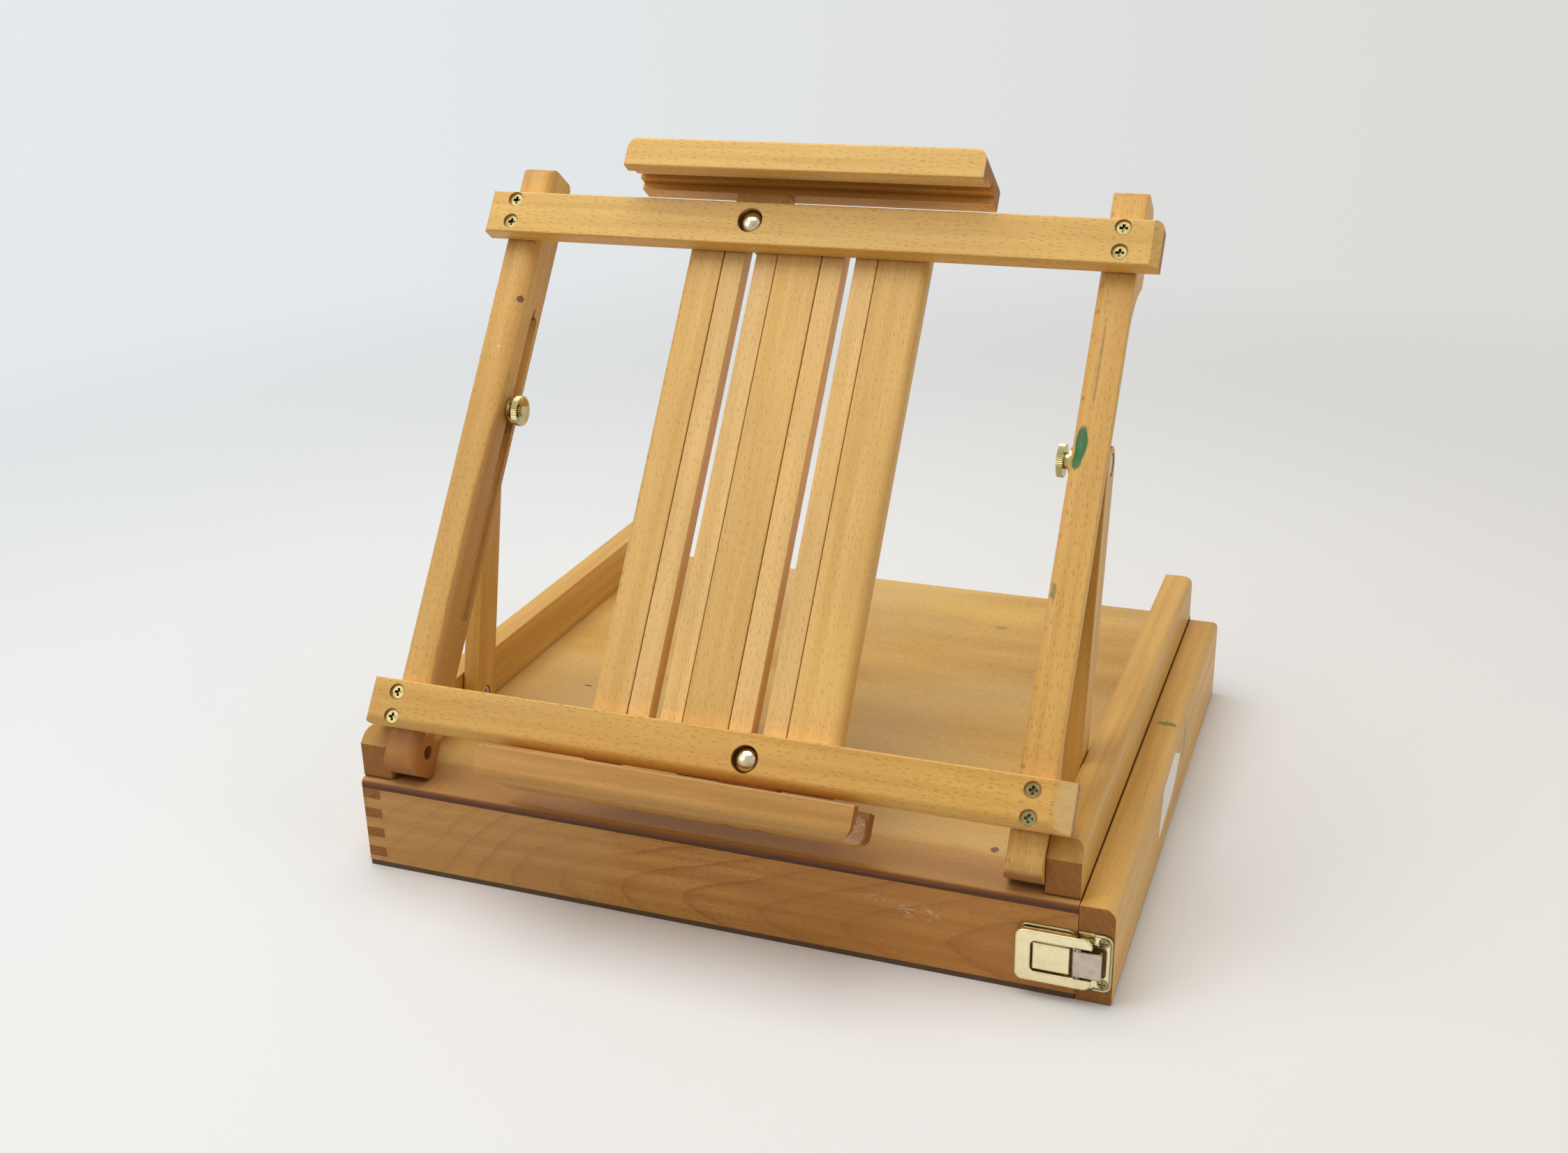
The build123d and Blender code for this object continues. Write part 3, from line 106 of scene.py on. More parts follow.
class Graph:
    """The nodes of one material or world, with short ways to add to them."""

    def __init__(self, owner: bpy.types.Material | bpy.types.World) -> None:
        """Start with no nodes.

        Args:
            owner: The material or world that the nodes are for.
        """
        owner.use_nodes = True
        self.owner = owner
        self.tree = owner.node_tree
        self.tree.nodes.clear()

    @classmethod
    def material(cls, name: str) -> "Graph":
        """Start a new material."""
        return cls(bpy.data.materials.new(name))

    def add(self, kind: str, inputs: dict, output: int | str = 0, **settings) -> Socket:
        """Add a node with its settings and links.

        Args:
            kind: The node's type, without its ShaderNode prefix.
            inputs: Values or sockets by the input's name or number.
            output: The output wanted, by name or number.
            settings: Attributes of the node.

        Returns:
            The wanted output.
        """
        node = self.tree.nodes.new("ShaderNode" + kind)
        for key, value in settings.items():
            setattr(node, key, value)
        for key, value in inputs.items():
            if isinstance(value, Socket):
                self.tree.links.new(value, node.inputs[key])
            else:
                node.inputs[key].default_value = value
        return node.outputs[output]

    def math(self, operation: str, *values: Socket | float) -> Socket:
        """Work out a number from others."""
        return self.add("Math", dict(enumerate(values)), operation=operation)

    def scaled(self, vector: Socket, scale: Triple) -> Socket:
        """Stretch a vector by three factors."""
        return self.add("VectorMath", {0: vector, 1: scale}, operation="MULTIPLY")

    def shifted(self, vector: Socket, offset: Triple) -> Socket:
        """Add to a vector."""
        return self.add("VectorMath", {0: vector, 1: offset}, operation="ADD")

    def along(self, vector: Socket, direction: Vector) -> Socket:
        """How far a vector reaches in a direction."""
        return self.dot(vector, tuple(direction))

    def dot(self, first: Socket, second: Socket | Triple) -> Socket:
        """The dot product of two vectors."""
        return self.add("VectorMath", {0: first, 1: second}, "Value", operation="DOT_PRODUCT")

    def length(self, vector: Socket) -> Socket:
        """The length of a vector."""
        return self.add("VectorMath", {0: vector}, "Value", operation="LENGTH")

    def split(self, vector: Socket) -> list[Socket]:
        """The three parts of a vector."""
        return list(self.add("SeparateXYZ", {0: vector}).node.outputs)

    def noise(
        self, vector: Socket, scale: float, detail: float = SOFT_DETAIL, roughness: float = 0.5
    ) -> Socket:
        """Give soft patches, scale of them to a metre."""
        inputs = {"Vector": vector, "Scale": scale, "Detail": detail, "Roughness": roughness}
        return self.add("TexNoise", inputs, "Fac")

    def stretched(self, vector: Socket, size: Triple, detail: float = SOFT_DETAIL) -> Socket:
        """Give soft patches of three given sizes in metres."""
        return self.noise(self.scaled(vector, tuple(1 / side for side in size)), 1.0, detail)

    def ramp(
        self, value: Socket, low: float, high: float, to_low: float = 0.0, to_high: float = 1.0
    ) -> Socket:
        """Turn a range of values smoothly into another.

        Args:
            value: The value to turn.
            low: Where the range starts.
            high: Where it ends.
            to_low: What low becomes.
            to_high: What high becomes.

        Returns:
            The new value, held at its two ends.
        """
        inputs = {
            "Value": value, "From Min": low, "From Max": high, "To Min": to_low, "To Max": to_high,
        }
        return self.add("MapRange", inputs, "Result", interpolation_type="SMOOTHSTEP")

    def mix(
        self, share: Socket | float, first: Socket | Colour, second: Socket | Colour,
        blend: str = "MIX",
    ) -> Socket:
        """Mix two colours."""
        inputs = {0: share, 6: first, 7: second}
        return self.add("Mix", inputs, 2, data_type="RGBA", blend_type=blend)

    def bump(
        self, height: Socket, strength: float, distance: float, normal: Socket | None = None
    ) -> Socket:
        """Turn a height into a normal.

        Args:
            height: The height, 0 to 1.
            strength: How much of it shows.
            distance: The real height in metres.
            normal: The normal to start from, if not the surface's own.

        Returns:
            The normal.
        """
        inputs = {"Height": height, "Strength": strength, "Distance": distance}
        if normal is not None:
            inputs["Normal"] = normal
        return self.add("Bump", inputs, "Normal")

    def nearness(self, reach: float, samples: int) -> Socket:
        """Give 1 in the open, and less where other faces stand closer than reach."""
        return self.add("AmbientOcclusion", {"Distance": reach}, "AO", samples=samples)

    def rounded(self, radius: float, samples: int) -> tuple[Socket, Socket]:
        """Round the edges off.

        Args:
            radius: The radius of the rounding.
            samples: How finely it is worked out.

        Returns:
            The rounded normal, and how far it agrees with the flat one, up to 1.
        """
        soft = self.add("Bevel", {"Radius": radius}, "Normal", samples=samples)
        flat = self.add("NewGeometry", {}, "Normal")
        return soft, self.dot(soft, flat)

    def finish(self, inputs: dict) -> bpy.types.Material:
        """Close the graph with a Principled shader."""
        return self.close(self.add("BsdfPrincipled", inputs, "BSDF"))

    def close(self, shader: Socket) -> bpy.types.Material | bpy.types.World:
        """Link a shader to the output.

        Args:
            shader: The last shader.

        Returns:
            The material or world.
        """
        kind = "World" if isinstance(self.owner, bpy.types.World) else "Material"
        node = self.tree.nodes.new("ShaderNodeOutput" + kind)
        self.tree.links.new(shader, node.inputs["Surface"])
        return self.owner


@dataclass(frozen=True)
class Mark:
    """A worn, stained or painted spot on a board. Some spots are painted light and shade, as noted
    where they are listed.

    Args:
        centre: Its place in the frame at rest.
        radii: Its half sizes along the fibres, across the face and through the board, in
            millimetres.
        colour: Its sRGB colour.
        strength: How far it covers the wood, 0 to 1.
        ragged: How far noise eats into its edge, in radii.
        patchiness: Size of that noise's patches, in millimetres.
        scratched: Whether only thin lines of the spot show.
    """

    centre: Triple
    radii: Triple
    colour: str
    strength: float
    ragged: float
    patchiness: float = 3.0
    scratched: bool = False

    edge: ClassVar[Pair] = (0.85, 1.15)
    edge_roughness: ClassVar[float] = 0.6
    scratch: ClassVar[Triple] = (3.5 * MM, 0.7 * MM, 0.9 * MM)
    scratch_step: ClassVar[Pair] = (0.55, 0.66)

    def cover(self, graph: Graph, place: Socket, grain: Grain) -> Socket:
        """Give how much of each point the mark covers.

        Args:
            graph: The board's material.
            place: The point in the board's own directions.
            grain: Those directions.

        Returns:
            A share, from 0 to the mark's strength.
        """
        middle = grain.place(self.centre)
        away = graph.shifted(place, tuple(-middle))
        away = graph.scaled(away, tuple(1 / (radius * MM) for radius in self.radii))
        eaten = graph.noise(place, 1 / (self.patchiness * MM), FINE_DETAIL, self.edge_roughness)
        far = graph.math("MULTIPLY_ADD", eaten, self.ragged * 2, graph.length(away))
        near, end = self.edge
        inside = graph.ramp(far, near + self.ragged, end + self.ragged, 1.0, 0.0)
        if self.scratched:
            lines = graph.stretched(place, self.scratch, FINE_DETAIL)
            inside = graph.math("MULTIPLY", inside, graph.ramp(lines, *self.scratch_step))
        return graph.math("MULTIPLY", inside, self.strength)


@dataclass(frozen=True)
class Sticker:
    """A plain white paper sticker on the drawer front, torn at its lower corner.

    It reads as matt, slightly grubby paper. The real one is thinner than 0.1 mm, so it is
    part of the wood's finish.

    Args:
        outline: Its corners, as places along the drawer front and heights, clockwise.
        face: Where the drawer's outer face lies.
        colour: Its sRGB colour.
        tear: Size of the bites along its edge, in metres.
        strength: How far it covers the wood.
    """

    outline: tuple[Pair, ...] = (
        (-0.0458, 0.0147), (-0.0349, 0.0411), (0.0029, 0.0444), (0.0262, 0.0324),
        (0.0097, 0.0221), (-0.0013, 0.0183),
    )
    face: float = 0.2025
    colour: str = "#efebe3"
    tear: float = 1.2 * MM
    strength: float = 0.95

    def cover(self, graph: Graph, place: Socket, grain: Grain) -> Socket:
        """Give how much of each point the paper covers.

        Args:
            graph: The drawer front's material.
            place: The point in the board's own directions.
            grain: Those directions.

        Returns:
            The sticker's strength on the paper, and 0 on the wood.
        """
        outward = graph.along(place, grain.place(tuple(RIGHT)))
        inside = graph.math("SUBTRACT", outward, self.face - self.tear)
        for start, end in zip(self.outline, self.outline[1:] + self.outline[:1]):
            inward = Vector((0.0, end[1] - start[1], start[0] - end[0])).normalized()
            reach = graph.along(place, grain.place(inward))
            depth = graph.math("SUBTRACT", reach, inward.dot((0.0, *start)))
            inside = graph.math("MINIMUM", inside, depth)
        bites = graph.noise(place, 1 / self.tear, FINE_DETAIL)
        bitten = graph.math("MULTIPLY_ADD", bites, -self.tear / 2, inside)
        return graph.ramp(bitten, 0.0, self.tear / 8, 0.0, self.strength)


@dataclass(frozen=True)
class Rings:
    """Growth rings that show on a flat-sawn face as rounded arches lying on their side.

    They read as brown lines of late wood, each fading out on one side.

    Args:
        colour: The late wood's sRGB colour.
        strength: How far it covers the wood, 0 to 1.
        tip_height: Height of the tips at the middle of the board.
        tip_climb: How much the tips climb per metre to the right.
        tip_drop: How much they drop besides, per metre left of drop_from.
        drop_from: Where that drop starts.
        tip_round: How blunt the tips are, in metres.
        arm_slope: Length over height of the arms, at the middle and to its right.
        slope_climb: How much that grows per metre on the left half.
        start: Distance of the first ring from the middle.
        stretch: Length over which the spacing doubles.
        lines: Number of rings per doubling, over the natural logarithm.
        phase: Shift of the rings, in rings.
        nearest: Where the spacing stops narrowing.
        wobble: How far the lines wander, in metres.
        wander: Length of one such wandering.
        wander_squeeze: How much shorter it is across the board.
        fade: Width and strength of the soft side, in rings.
        line: Width and strength of the line itself, in rings.
        rise: Where the sharp side starts, in rings.
        faint: Length of the stretches where the lines are fainter.
        faint_step: The noise values between which they turn faint.
        faintest: How faint they get.
    """

    colour: str = "#914f14"
    strength: float = 0.55
    tip_height: float = 15 * MM
    tip_climb: float = 0.03
    tip_drop: float = 0.4
    drop_from: float = -102.5 * MM
    tip_round: float = 30 * MM
    arm_slope: float = 3.3
    slope_climb: float = 12.0
    start: float = 203 * MM
    stretch: float = 171 * MM
    lines: float = 9.2
    phase: float = 0.2
    nearest: float = -100 * MM
    wobble: float = 7 * MM
    wander: float = 1000 / 30 * MM
    wander_squeeze: float = 2.2
    fade: Pair = (0.36, 0.6)
    line: Pair = (0.12, 0.4)
    rise: float = 0.95
    faint: float = 1000 / 22 * MM
    faint_step: Pair = (0.30, 0.65)
    faintest: float = 0.4

    def pattern(self, graph: Graph, place: Socket) -> Socket:
        """Give the late wood of each ring: a thin line that fades on one side.

        Args:
            graph: The board's material.
            place: The point in the board's own directions.

        Returns:
            The share of late wood, 0 to 1.
        """
        saw = graph.math("FRACT", self.count(graph, place))
        fade_width, fade_strength = self.fade
        line_width, line_strength = self.line
        soft = graph.ramp(saw, 0.0, fade_width, fade_strength, 0.0)
        line = graph.ramp(saw, 0.0, line_width, line_strength, 0.0)
        edge = graph.ramp(saw, self.rise, 1.0, 0.0, 1.0)
        cloud = graph.noise(place, 1 / self.faint, 1.0)
        shown = graph.ramp(cloud, *self.faint_step, self.faintest, 1.0)
        late = graph.math("MAXIMUM", graph.math("ADD", soft, line), edge)
        return graph.math("MULTIPLY", late, shown)

    def count(self, graph: Graph, place: Socket) -> Socket:
        """Count the rings up to each point.

        Args:
            graph: The board's material.
            place: The point in the board's own directions.

        Returns:
            The number of rings, with its fraction.
        """
        along, across, _ = graph.split(place)
        tip_height = graph.math("MULTIPLY_ADD", along, self.tip_climb, self.tip_height)
        left = graph.math("MINIMUM", graph.math("SUBTRACT", along, self.drop_from), 0.0)
        tip_height = graph.math("MULTIPLY_ADD", left, self.tip_drop, tip_height)
        rise = graph.math("SUBTRACT", across, tip_height)
        left_half = graph.math("MINIMUM", along, 0.0)
        slope = graph.math("MULTIPLY_ADD", left_half, self.slope_climb, self.arm_slope)
        reach = graph.math("MULTIPLY", rise, slope)
        arm = graph.math("SQRT", graph.math("MULTIPLY_ADD", reach, reach, self.tip_round ** 2))
        blunt = graph.math("ADD", along, self.start + self.tip_round)
        tip = graph.math("SUBTRACT", blunt, arm)
        squeezed = graph.scaled(place, (1.0, self.wander_squeeze, 1.0))
        waves = graph.math("SUBTRACT", graph.noise(squeezed, 1 / self.wander), NOISE_MIDDLE)
        tip = graph.math("MULTIPLY_ADD", waves, self.wobble * 2, tip)
        tip = graph.math("MAXIMUM", tip, self.nearest)
        far = graph.math("ADD", graph.math("DIVIDE", tip, self.stretch), 1.0)
        doublings = graph.math("LOGARITHM", far, math.e)
        return graph.math("MULTIPLY_ADD", doublings, self.lines, self.phase)


@dataclass(frozen=True)
class Flecks:
    """Ray flecks of beech: thin dark spindles along the fibres, each of its own darkness.

    Real ones are 2 to 4 mm long and at most 0.3 mm wide. These are 0.5 mm wide, since
    thinner ones don't show in the render.

    There is one to each spacing by gap of the face, and edge is where it fades out.
    """

    spacing: float = 5 * MM
    gap: float = 1.7 * MM
    length: float = 3.2 * MM
    width: float = 0.5 * MM
    slope: float = 0.06
    edge: Pair = (0.45, 1.15)
    faintest: float = 0.15

    def pattern(self, graph: Graph, own: Socket) -> Socket:
        """Give the flecks.

        Args:
            graph: The board's material.
            own: The point in the board's own shifted pattern.

        Returns:
            The darkness of the fleck at each point, 0 to 1.
        """
        along, across, through = graph.split(own)
        sideways = graph.math("ADD", across, through)
        side = graph.math("MULTIPLY_ADD", along, self.slope, sideways)
        sheet = graph.add("CombineXYZ", {0: along, 1: side})
        sheet = graph.scaled(sheet, (1 / self.spacing, 1 / self.gap, 1.0))
        middle = graph.add(
            "TexVoronoi", {"Vector": sheet, "Scale": 1.0}, "Position",
            voronoi_dimensions="2D", feature="F1",
        )
        away = graph.add("VectorMath", {0: sheet, 1: middle}, operation="SUBTRACT")
        shape = (2 * self.spacing / self.length, 2 * self.gap / self.width, 0.0)
        far = graph.length(graph.scaled(away, shape))
        spindle = graph.ramp(far, *self.edge, 1.0, 0.0)
        chance = graph.add("SeparateColor", {0: middle.node.outputs["Color"]}, 0)
        return graph.math("MULTIPLY", spindle, graph.ramp(chance, 0.0, 1.0, self.faintest, 1.0))


@dataclass(frozen=True)
class EndGrain:
    """The cut ends of a board: darker, for they drink more oil, with slanting saw lines.

    Its turn is how far a face looks along the fibres where it starts and is full.
    """

    dark: str = "#7f4512"
    light: str = "#a4641f"
    line: Triple = (30 * MM, 1.1 * MM, 9 * MM)
    slant: float = 0.5
    step: Pair = (0.25, 0.85)
    turn: Pair = (0.55, 0.9)
    strength: float = 0.85

    def share(self, graph: Graph, facing: Socket, grain: Grain) -> Socket:
        """Give how far each point is end grain, 0 to 1."""
        return graph.ramp(graph.math("ABSOLUTE", graph.along(facing, grain.fibre)), *self.turn)

    def shades(self, graph: Graph, own: Socket) -> Socket:
        """Give its colours.

        Args:
            graph: The board's material.
            own: The point in the board's own shifted pattern.

        Returns:
            The colour at each point.
        """
        inputs = {"Vector": own, "Angle": self.slant}
        turned = graph.add("VectorRotate", inputs, rotation_type="X_AXIS")
        lines = graph.stretched(turned, self.line, FINE_DETAIL)
        return graph.mix(graph.ramp(lines, *self.step), linear(self.dark), linear(self.light))


@dataclass(frozen=True)
class PlyEdge:
    """The edge of the plywood lid: reddish brown, darkened with painted shade of the tray above,
    with one paler layer.

    Its turn is how flat a face lies where the edge is full and where it ends.
    """

    # Darker than the ply's own edge: partly painted shade of the tray above.
    dark: str = "#3a1505"
    pale: str = "#6a2e0e"
    layer: float = 1.7 * MM
    layer_step: Pair = (0.3, 0.6)
    speckle: Triple = (6 * MM, 6 * MM, 0.5 * MM)
    speckle_step: Pair = (0.35, 0.7)
    turn: Pair = (0.45, 0.93)
    strength: float = 0.95

    def share(self, graph: Graph, facing: Socket, grain: Grain) -> Socket:
        """Give how far each point is on the edge, 0 to the edge's strength."""
        flat = graph.math("ABSOLUTE", graph.along(facing, grain.through))
        return graph.ramp(flat, *self.turn, self.strength, 0.0)

    def shades(self, graph: Graph, own: Socket) -> Socket:
        """Give its colours.

        Args:
            graph: The lid's material.
            own: The point in the board's own shifted pattern.

        Returns:
            The colour at each point.
        """
        _, _, through = graph.split(own)
        layer = graph.math("FRACT", graph.math("DIVIDE", through, self.layer))
        specks = graph.ramp(graph.stretched(own, self.speckle, FINE_DETAIL), *self.speckle_step)
        pale = graph.math("MULTIPLY", graph.ramp(layer, *self.layer_step), specks)
        return graph.mix(pale, linear(self.dark), linear(self.pale))


@dataclass(frozen=True)
class Beech:
    """Oiled beech: honey-coloured, with short dark ray flecks along its fibres.

    It reads as warm, close-grained wood with a soft satin sheen, paler along its worn
    edges and darker with dirt and painted shade in the inner corners. A haze, where there is
    one, is pale clouds, partly the bloom of a surface that was wiped and dried out and
    partly painted sheen.
    """

    light: str
    dark: str
    band: Triple = (150 * MM, 6 * MM, 6 * MM)
    band_step: Pair = (0.28, 0.72)
    fibre: Triple = (18 * MM, 0.6 * MM, 0.6 * MM)
    fibre_contrast: float = 0.5
    patch: Triple = (110 * MM, 45 * MM, 45 * MM)
    patch_step: Pair = (0.25, 0.75)
    patch_shade: Pair = (0.93, 1.05)
    flecks: Flecks = Flecks()
    fleck: str = "#a06a2a"
    fleck_strength: float = 0.62
    fleck_dent: float = 0.8
    rings: Rings | None = None
    end_grain: EndGrain = EndGrain()
    ply_edge: PlyEdge | None = None
    # Pale clouds: partly the bloom of a dried-out surface, partly painted sheen.
    haze_and_sheen: float = 0.0
    haze_and_sheen_colour: str = "#d6bd8d"
    haze_and_sheen_cloud: Triple = (200 * MM, 125 * MM, 125 * MM)
    haze_and_sheen_step: Pair = (0.40, 0.62)
    worn: str = "#c08a48"
    edge_wear: float = 0.25
    edge_round: float = 0.9 * MM
    edge_step: Pair = (0.80, 0.995)
    # Darkening in the inner corners and between parts: dirt, with painted shade.
    dirt_and_shade: str = "#4a2209"
    corner_dirt_and_shade: float = 0.45
    corner_reach: float = 3.5 * MM
    corner_step: Pair = (0.25, 0.80)
    roughness: float = 0.44
    roughness_spread: float = 0.16
    end_roughness: float = 0.15
    relief: float = 0.05 * MM
    relief_strength: float = 0.35
    specular: float = 0.35
    oil: float = 0.05
    oil_roughness: float = 0.35

    seed_shift: ClassVar[Triple] = (1.7, 0.31, 0.53)
    samples: ClassVar[int] = 4

    def build(
        self, name: str, grain: Grain, seed: float, marks: tuple[Mark | Sticker, ...] = ()
    ) -> bpy.types.Material:
        """Make the material for one board.

        Args:
            name: The material's name.
            grain: The board's directions.
            seed: Moves the pattern, so that no two boards match.
            marks: Spots and stickers on this board.

        Returns:
            The material.
        """
        graph = Graph.material(name)
        spot = graph.add("TexCoord", {}, "Object")
        facing = graph.add("TexCoord", {}, "Normal")
        ways = (grain.fibre, grain.across, grain.through)
        parts = {key: graph.along(spot, way) for key, way in enumerate(ways)}
        place = graph.add("CombineXYZ", parts)
        own = graph.shifted(place, tuple(seed * step for step in self.seed_shift))
        fibres = graph.stretched(own, self.fibre)
        patches = graph.stretched(own, self.patch)
        flecks = self.flecks.pattern(graph, own)
        cut = self.end_grain.share(graph, facing, grain)

        colour = self.plain(graph, own, fibres, patches)
        if self.rings is not None:
            late = graph.math("MULTIPLY", self.rings.pattern(graph, place), self.rings.strength)
            colour = graph.mix(late, colour, linear(self.rings.colour))
        dark = graph.math("MULTIPLY", flecks, self.fleck_strength)
        colour = graph.mix(dark, colour, linear(self.fleck))
        # Pale clouds, partly painted sheen.
        if self.haze_and_sheen > 0:
            cloud = graph.stretched(own, self.haze_and_sheen_cloud, FINE_DETAIL)
            bloom_and_sheen = graph.ramp(cloud, *self.haze_and_sheen_step, 0.0, self.haze_and_sheen)
            colour = graph.mix(bloom_and_sheen, colour, linear(self.haze_and_sheen_colour))
        ends = graph.math("MULTIPLY", cut, self.end_grain.strength)
        colour = graph.mix(ends, colour, self.end_grain.shades(graph, own))
        if self.ply_edge is not None:
            side = self.ply_edge.share(graph, facing, grain)
            colour = graph.mix(side, colour, self.ply_edge.shades(graph, own))
        colour = self.used(graph, colour, place, grain, marks)

        low_roughness = self.roughness - self.roughness_spread / 2
        roughness = graph.math("MULTIPLY_ADD", patches, self.roughness_spread, low_roughness)
        roughness = graph.math("MULTIPLY_ADD", cut, self.end_roughness, roughness)
        height = graph.math("MULTIPLY_ADD", flecks, -self.fleck_dent, fibres)
        return graph.finish({
            "Base Color": colour, "Roughness": roughness,
            "Normal": graph.bump(height, self.relief_strength, self.relief),
            "Specular IOR Level": self.specular,
            "Coat Weight": self.oil, "Coat Roughness": self.oil_roughness,
        })

    def plain(self, graph: Graph, own: Socket, fibres: Socket, patches: Socket) -> Socket:
        """Give the wood's own colour, with its bands, fibres and paler and darker patches.

        Args:
            graph: The board's material.
            own: The point in the board's own shifted pattern.
            fibres: The fibres' pattern.
            patches: The patches' pattern.

        Returns:
            The colour at each point.
        """
        bands = graph.ramp(graph.stretched(own, self.band, FINE_DETAIL), *self.band_step)
        fine = graph.math("SUBTRACT", fibres, NOISE_MIDDLE)
        tone = graph.math("MULTIPLY_ADD", fine, self.fibre_contrast, bands)
        colour = graph.mix(tone, linear(self.light), linear(self.dark))
        shade = graph.ramp(patches, *self.patch_step, *self.patch_shade)
        grey = graph.add("CombineColor", {0: shade, 1: shade, 2: shade})
        return graph.mix(1.0, colour, grey, "MULTIPLY")

    def used(
        self, graph: Graph, colour: Socket, place: Socket, grain: Grain,
        marks: tuple[Mark | Sticker, ...],
    ) -> Socket:
        """Add worn edges, spots, some of them painted light and shade, and corner dirt with
        painted shade.

        Args:
            graph: The board's material.
            colour: The clean wood's colour.
            place: The point in the board's own directions.
            grain: Those directions.
            marks: Spots and stickers on this board.

        Returns:
            The colour at each point.
        """
        _, agreement = graph.rounded(self.edge_round, self.samples)
        wear = graph.ramp(agreement, *self.edge_step, 1.0, 0.0)
        worn = graph.math("MULTIPLY", wear, self.edge_wear)
        colour = graph.mix(worn, colour, linear(self.worn))
        for mark in marks:
            colour = graph.mix(mark.cover(graph, place, grain), colour, linear(mark.colour))
        # Darker where other faces stand close: dirt, with painted shade.
        sky = graph.nearness(self.corner_reach, self.samples)
        dirt_and_shade = graph.ramp(sky, *self.corner_step, self.corner_dirt_and_shade, 0.0)
        return graph.mix(dirt_and_shade, colour, linear(self.dirt_and_shade))


@dataclass(frozen=True)
class Fibreboard:
    """Thin dark base board: pressed fibres, matt."""

    light: str = "#6b4e33"
    dark: str = "#4a3623"
    tone_step: Pair = (0.3, 0.7)
    speckle: float = MM / 0.9
    speckle_detail: float = 4.0
    speckle_roughness: float = 0.7
    speckle_share: float = 0.6
    blotch: float = MM / 0.045
    roughness: float = 0.7
    relief: float = 0.1 * MM
    relief_strength: float = 0.4

    def build(self, name: str) -> bpy.types.Material:
        """Make the material.

        Args:
            name: The material's name.

        Returns:
            The material.
        """
        graph = Graph.material(name)
        spot = graph.add("TexCoord", {}, "Object")
        scale = 1 / self.speckle
        specks = graph.noise(spot, scale, self.speckle_detail, self.speckle_roughness)
        blotches = graph.noise(spot, 1 / self.blotch)
        rest = graph.math("MULTIPLY", blotches, 1 - self.speckle_share)
        tone = graph.math("MULTIPLY_ADD", specks, self.speckle_share, rest)
        step = graph.ramp(tone, *self.tone_step)
        return graph.finish({
            "Base Color": graph.mix(step, linear(self.dark), linear(self.light)),
            "Roughness": self.roughness,
            "Normal": graph.bump(specks, self.relief_strength, self.relief),
        })


@dataclass(frozen=True)
class Metal:
    """Plated or solid metal with handling scuffs, drier and darker where fingers have been.

    Rolled gives thin plates their softly turned edges, darkened with a painted dark
    reflection, and old polish and dirt, with painted shade, darken the gaps between the
    pieces. The scratches are as coarse as they need to be to show.

    Each step is the range over which its effect comes or goes.
    """

    colour: str
    tarnish_and_rim_reflection: str
    roughness: float
    rolled: float
    scuff_roughness: float = 0.16
    tarnish_share: float = 0.35
    tarnish_step: Pair = (0.42, 0.72)
    patch: float = 5 * MM
    scratch: Triple = (0.25 / 0.06 * MM, 0.25 / 0.4 * MM, 0.25 * MM)
    relief: float = 0.02 * MM
    relief_strength: float = 0.12
    # Gap darkening: grime, with painted shade.
    grime_and_shade: str = "#33291a"
    gap: float = 1.6 * MM
    gap_step: Pair = (0.35, 0.95)
    gap_dirt_and_shade: float = 0.9
    # Rim darkening: a painted dark reflection along the rolled rims, in the tarnish colour.
    rim_dark_reflection: float = 0.3
    rim_step: Pair = (0.84, 0.985)

    patch_detail: ClassVar[float] = 4.0
    patch_roughness: ClassVar[float] = 0.6
    samples: ClassVar[int] = 8

    def build(self, name: str) -> bpy.types.Material:
        """Make the material.

        Args:
            name: The material's name.

        Returns:
            The material.
        """
        graph = Graph.material(name)
        spot = graph.add("TexCoord", {}, "Object")
        patches = graph.noise(spot, 1 / self.patch, self.patch_detail, self.patch_roughness)
        dull = graph.ramp(patches, *self.tarnish_step, 0.0, self.tarnish_share)
        colour = graph.mix(dull, linear(self.colour), linear(self.tarnish_and_rim_reflection))
        # Darker in the gaps between the pieces: grime, with painted shade.
        sky = graph.nearness(self.gap, self.samples)
        dirt_and_shade = graph.ramp(sky, *self.gap_step, self.gap_dirt_and_shade, 0.0)
        colour = graph.mix(dirt_and_shade, colour, linear(self.grime_and_shade))
        # Darker along the rolled rims: a painted dark reflection.
        soft, agreement = graph.rounded(self.rolled, self.samples)
        rim = graph.ramp(agreement, *self.rim_step, self.rim_dark_reflection, 0.0)
        colour = graph.mix(rim, colour, linear(self.tarnish_and_rim_reflection))
        low_roughness = self.roughness - self.scuff_roughness / 2
        scratches = graph.stretched(spot, self.scratch)
        return graph.finish({
            "Base Color": colour, "Metallic": 1.0,
            "Roughness": graph.math(
                "MULTIPLY_ADD", patches, self.scuff_roughness, low_roughness
            ),
            "Normal": graph.bump(scratches, self.relief_strength, self.relief, soft),
        })


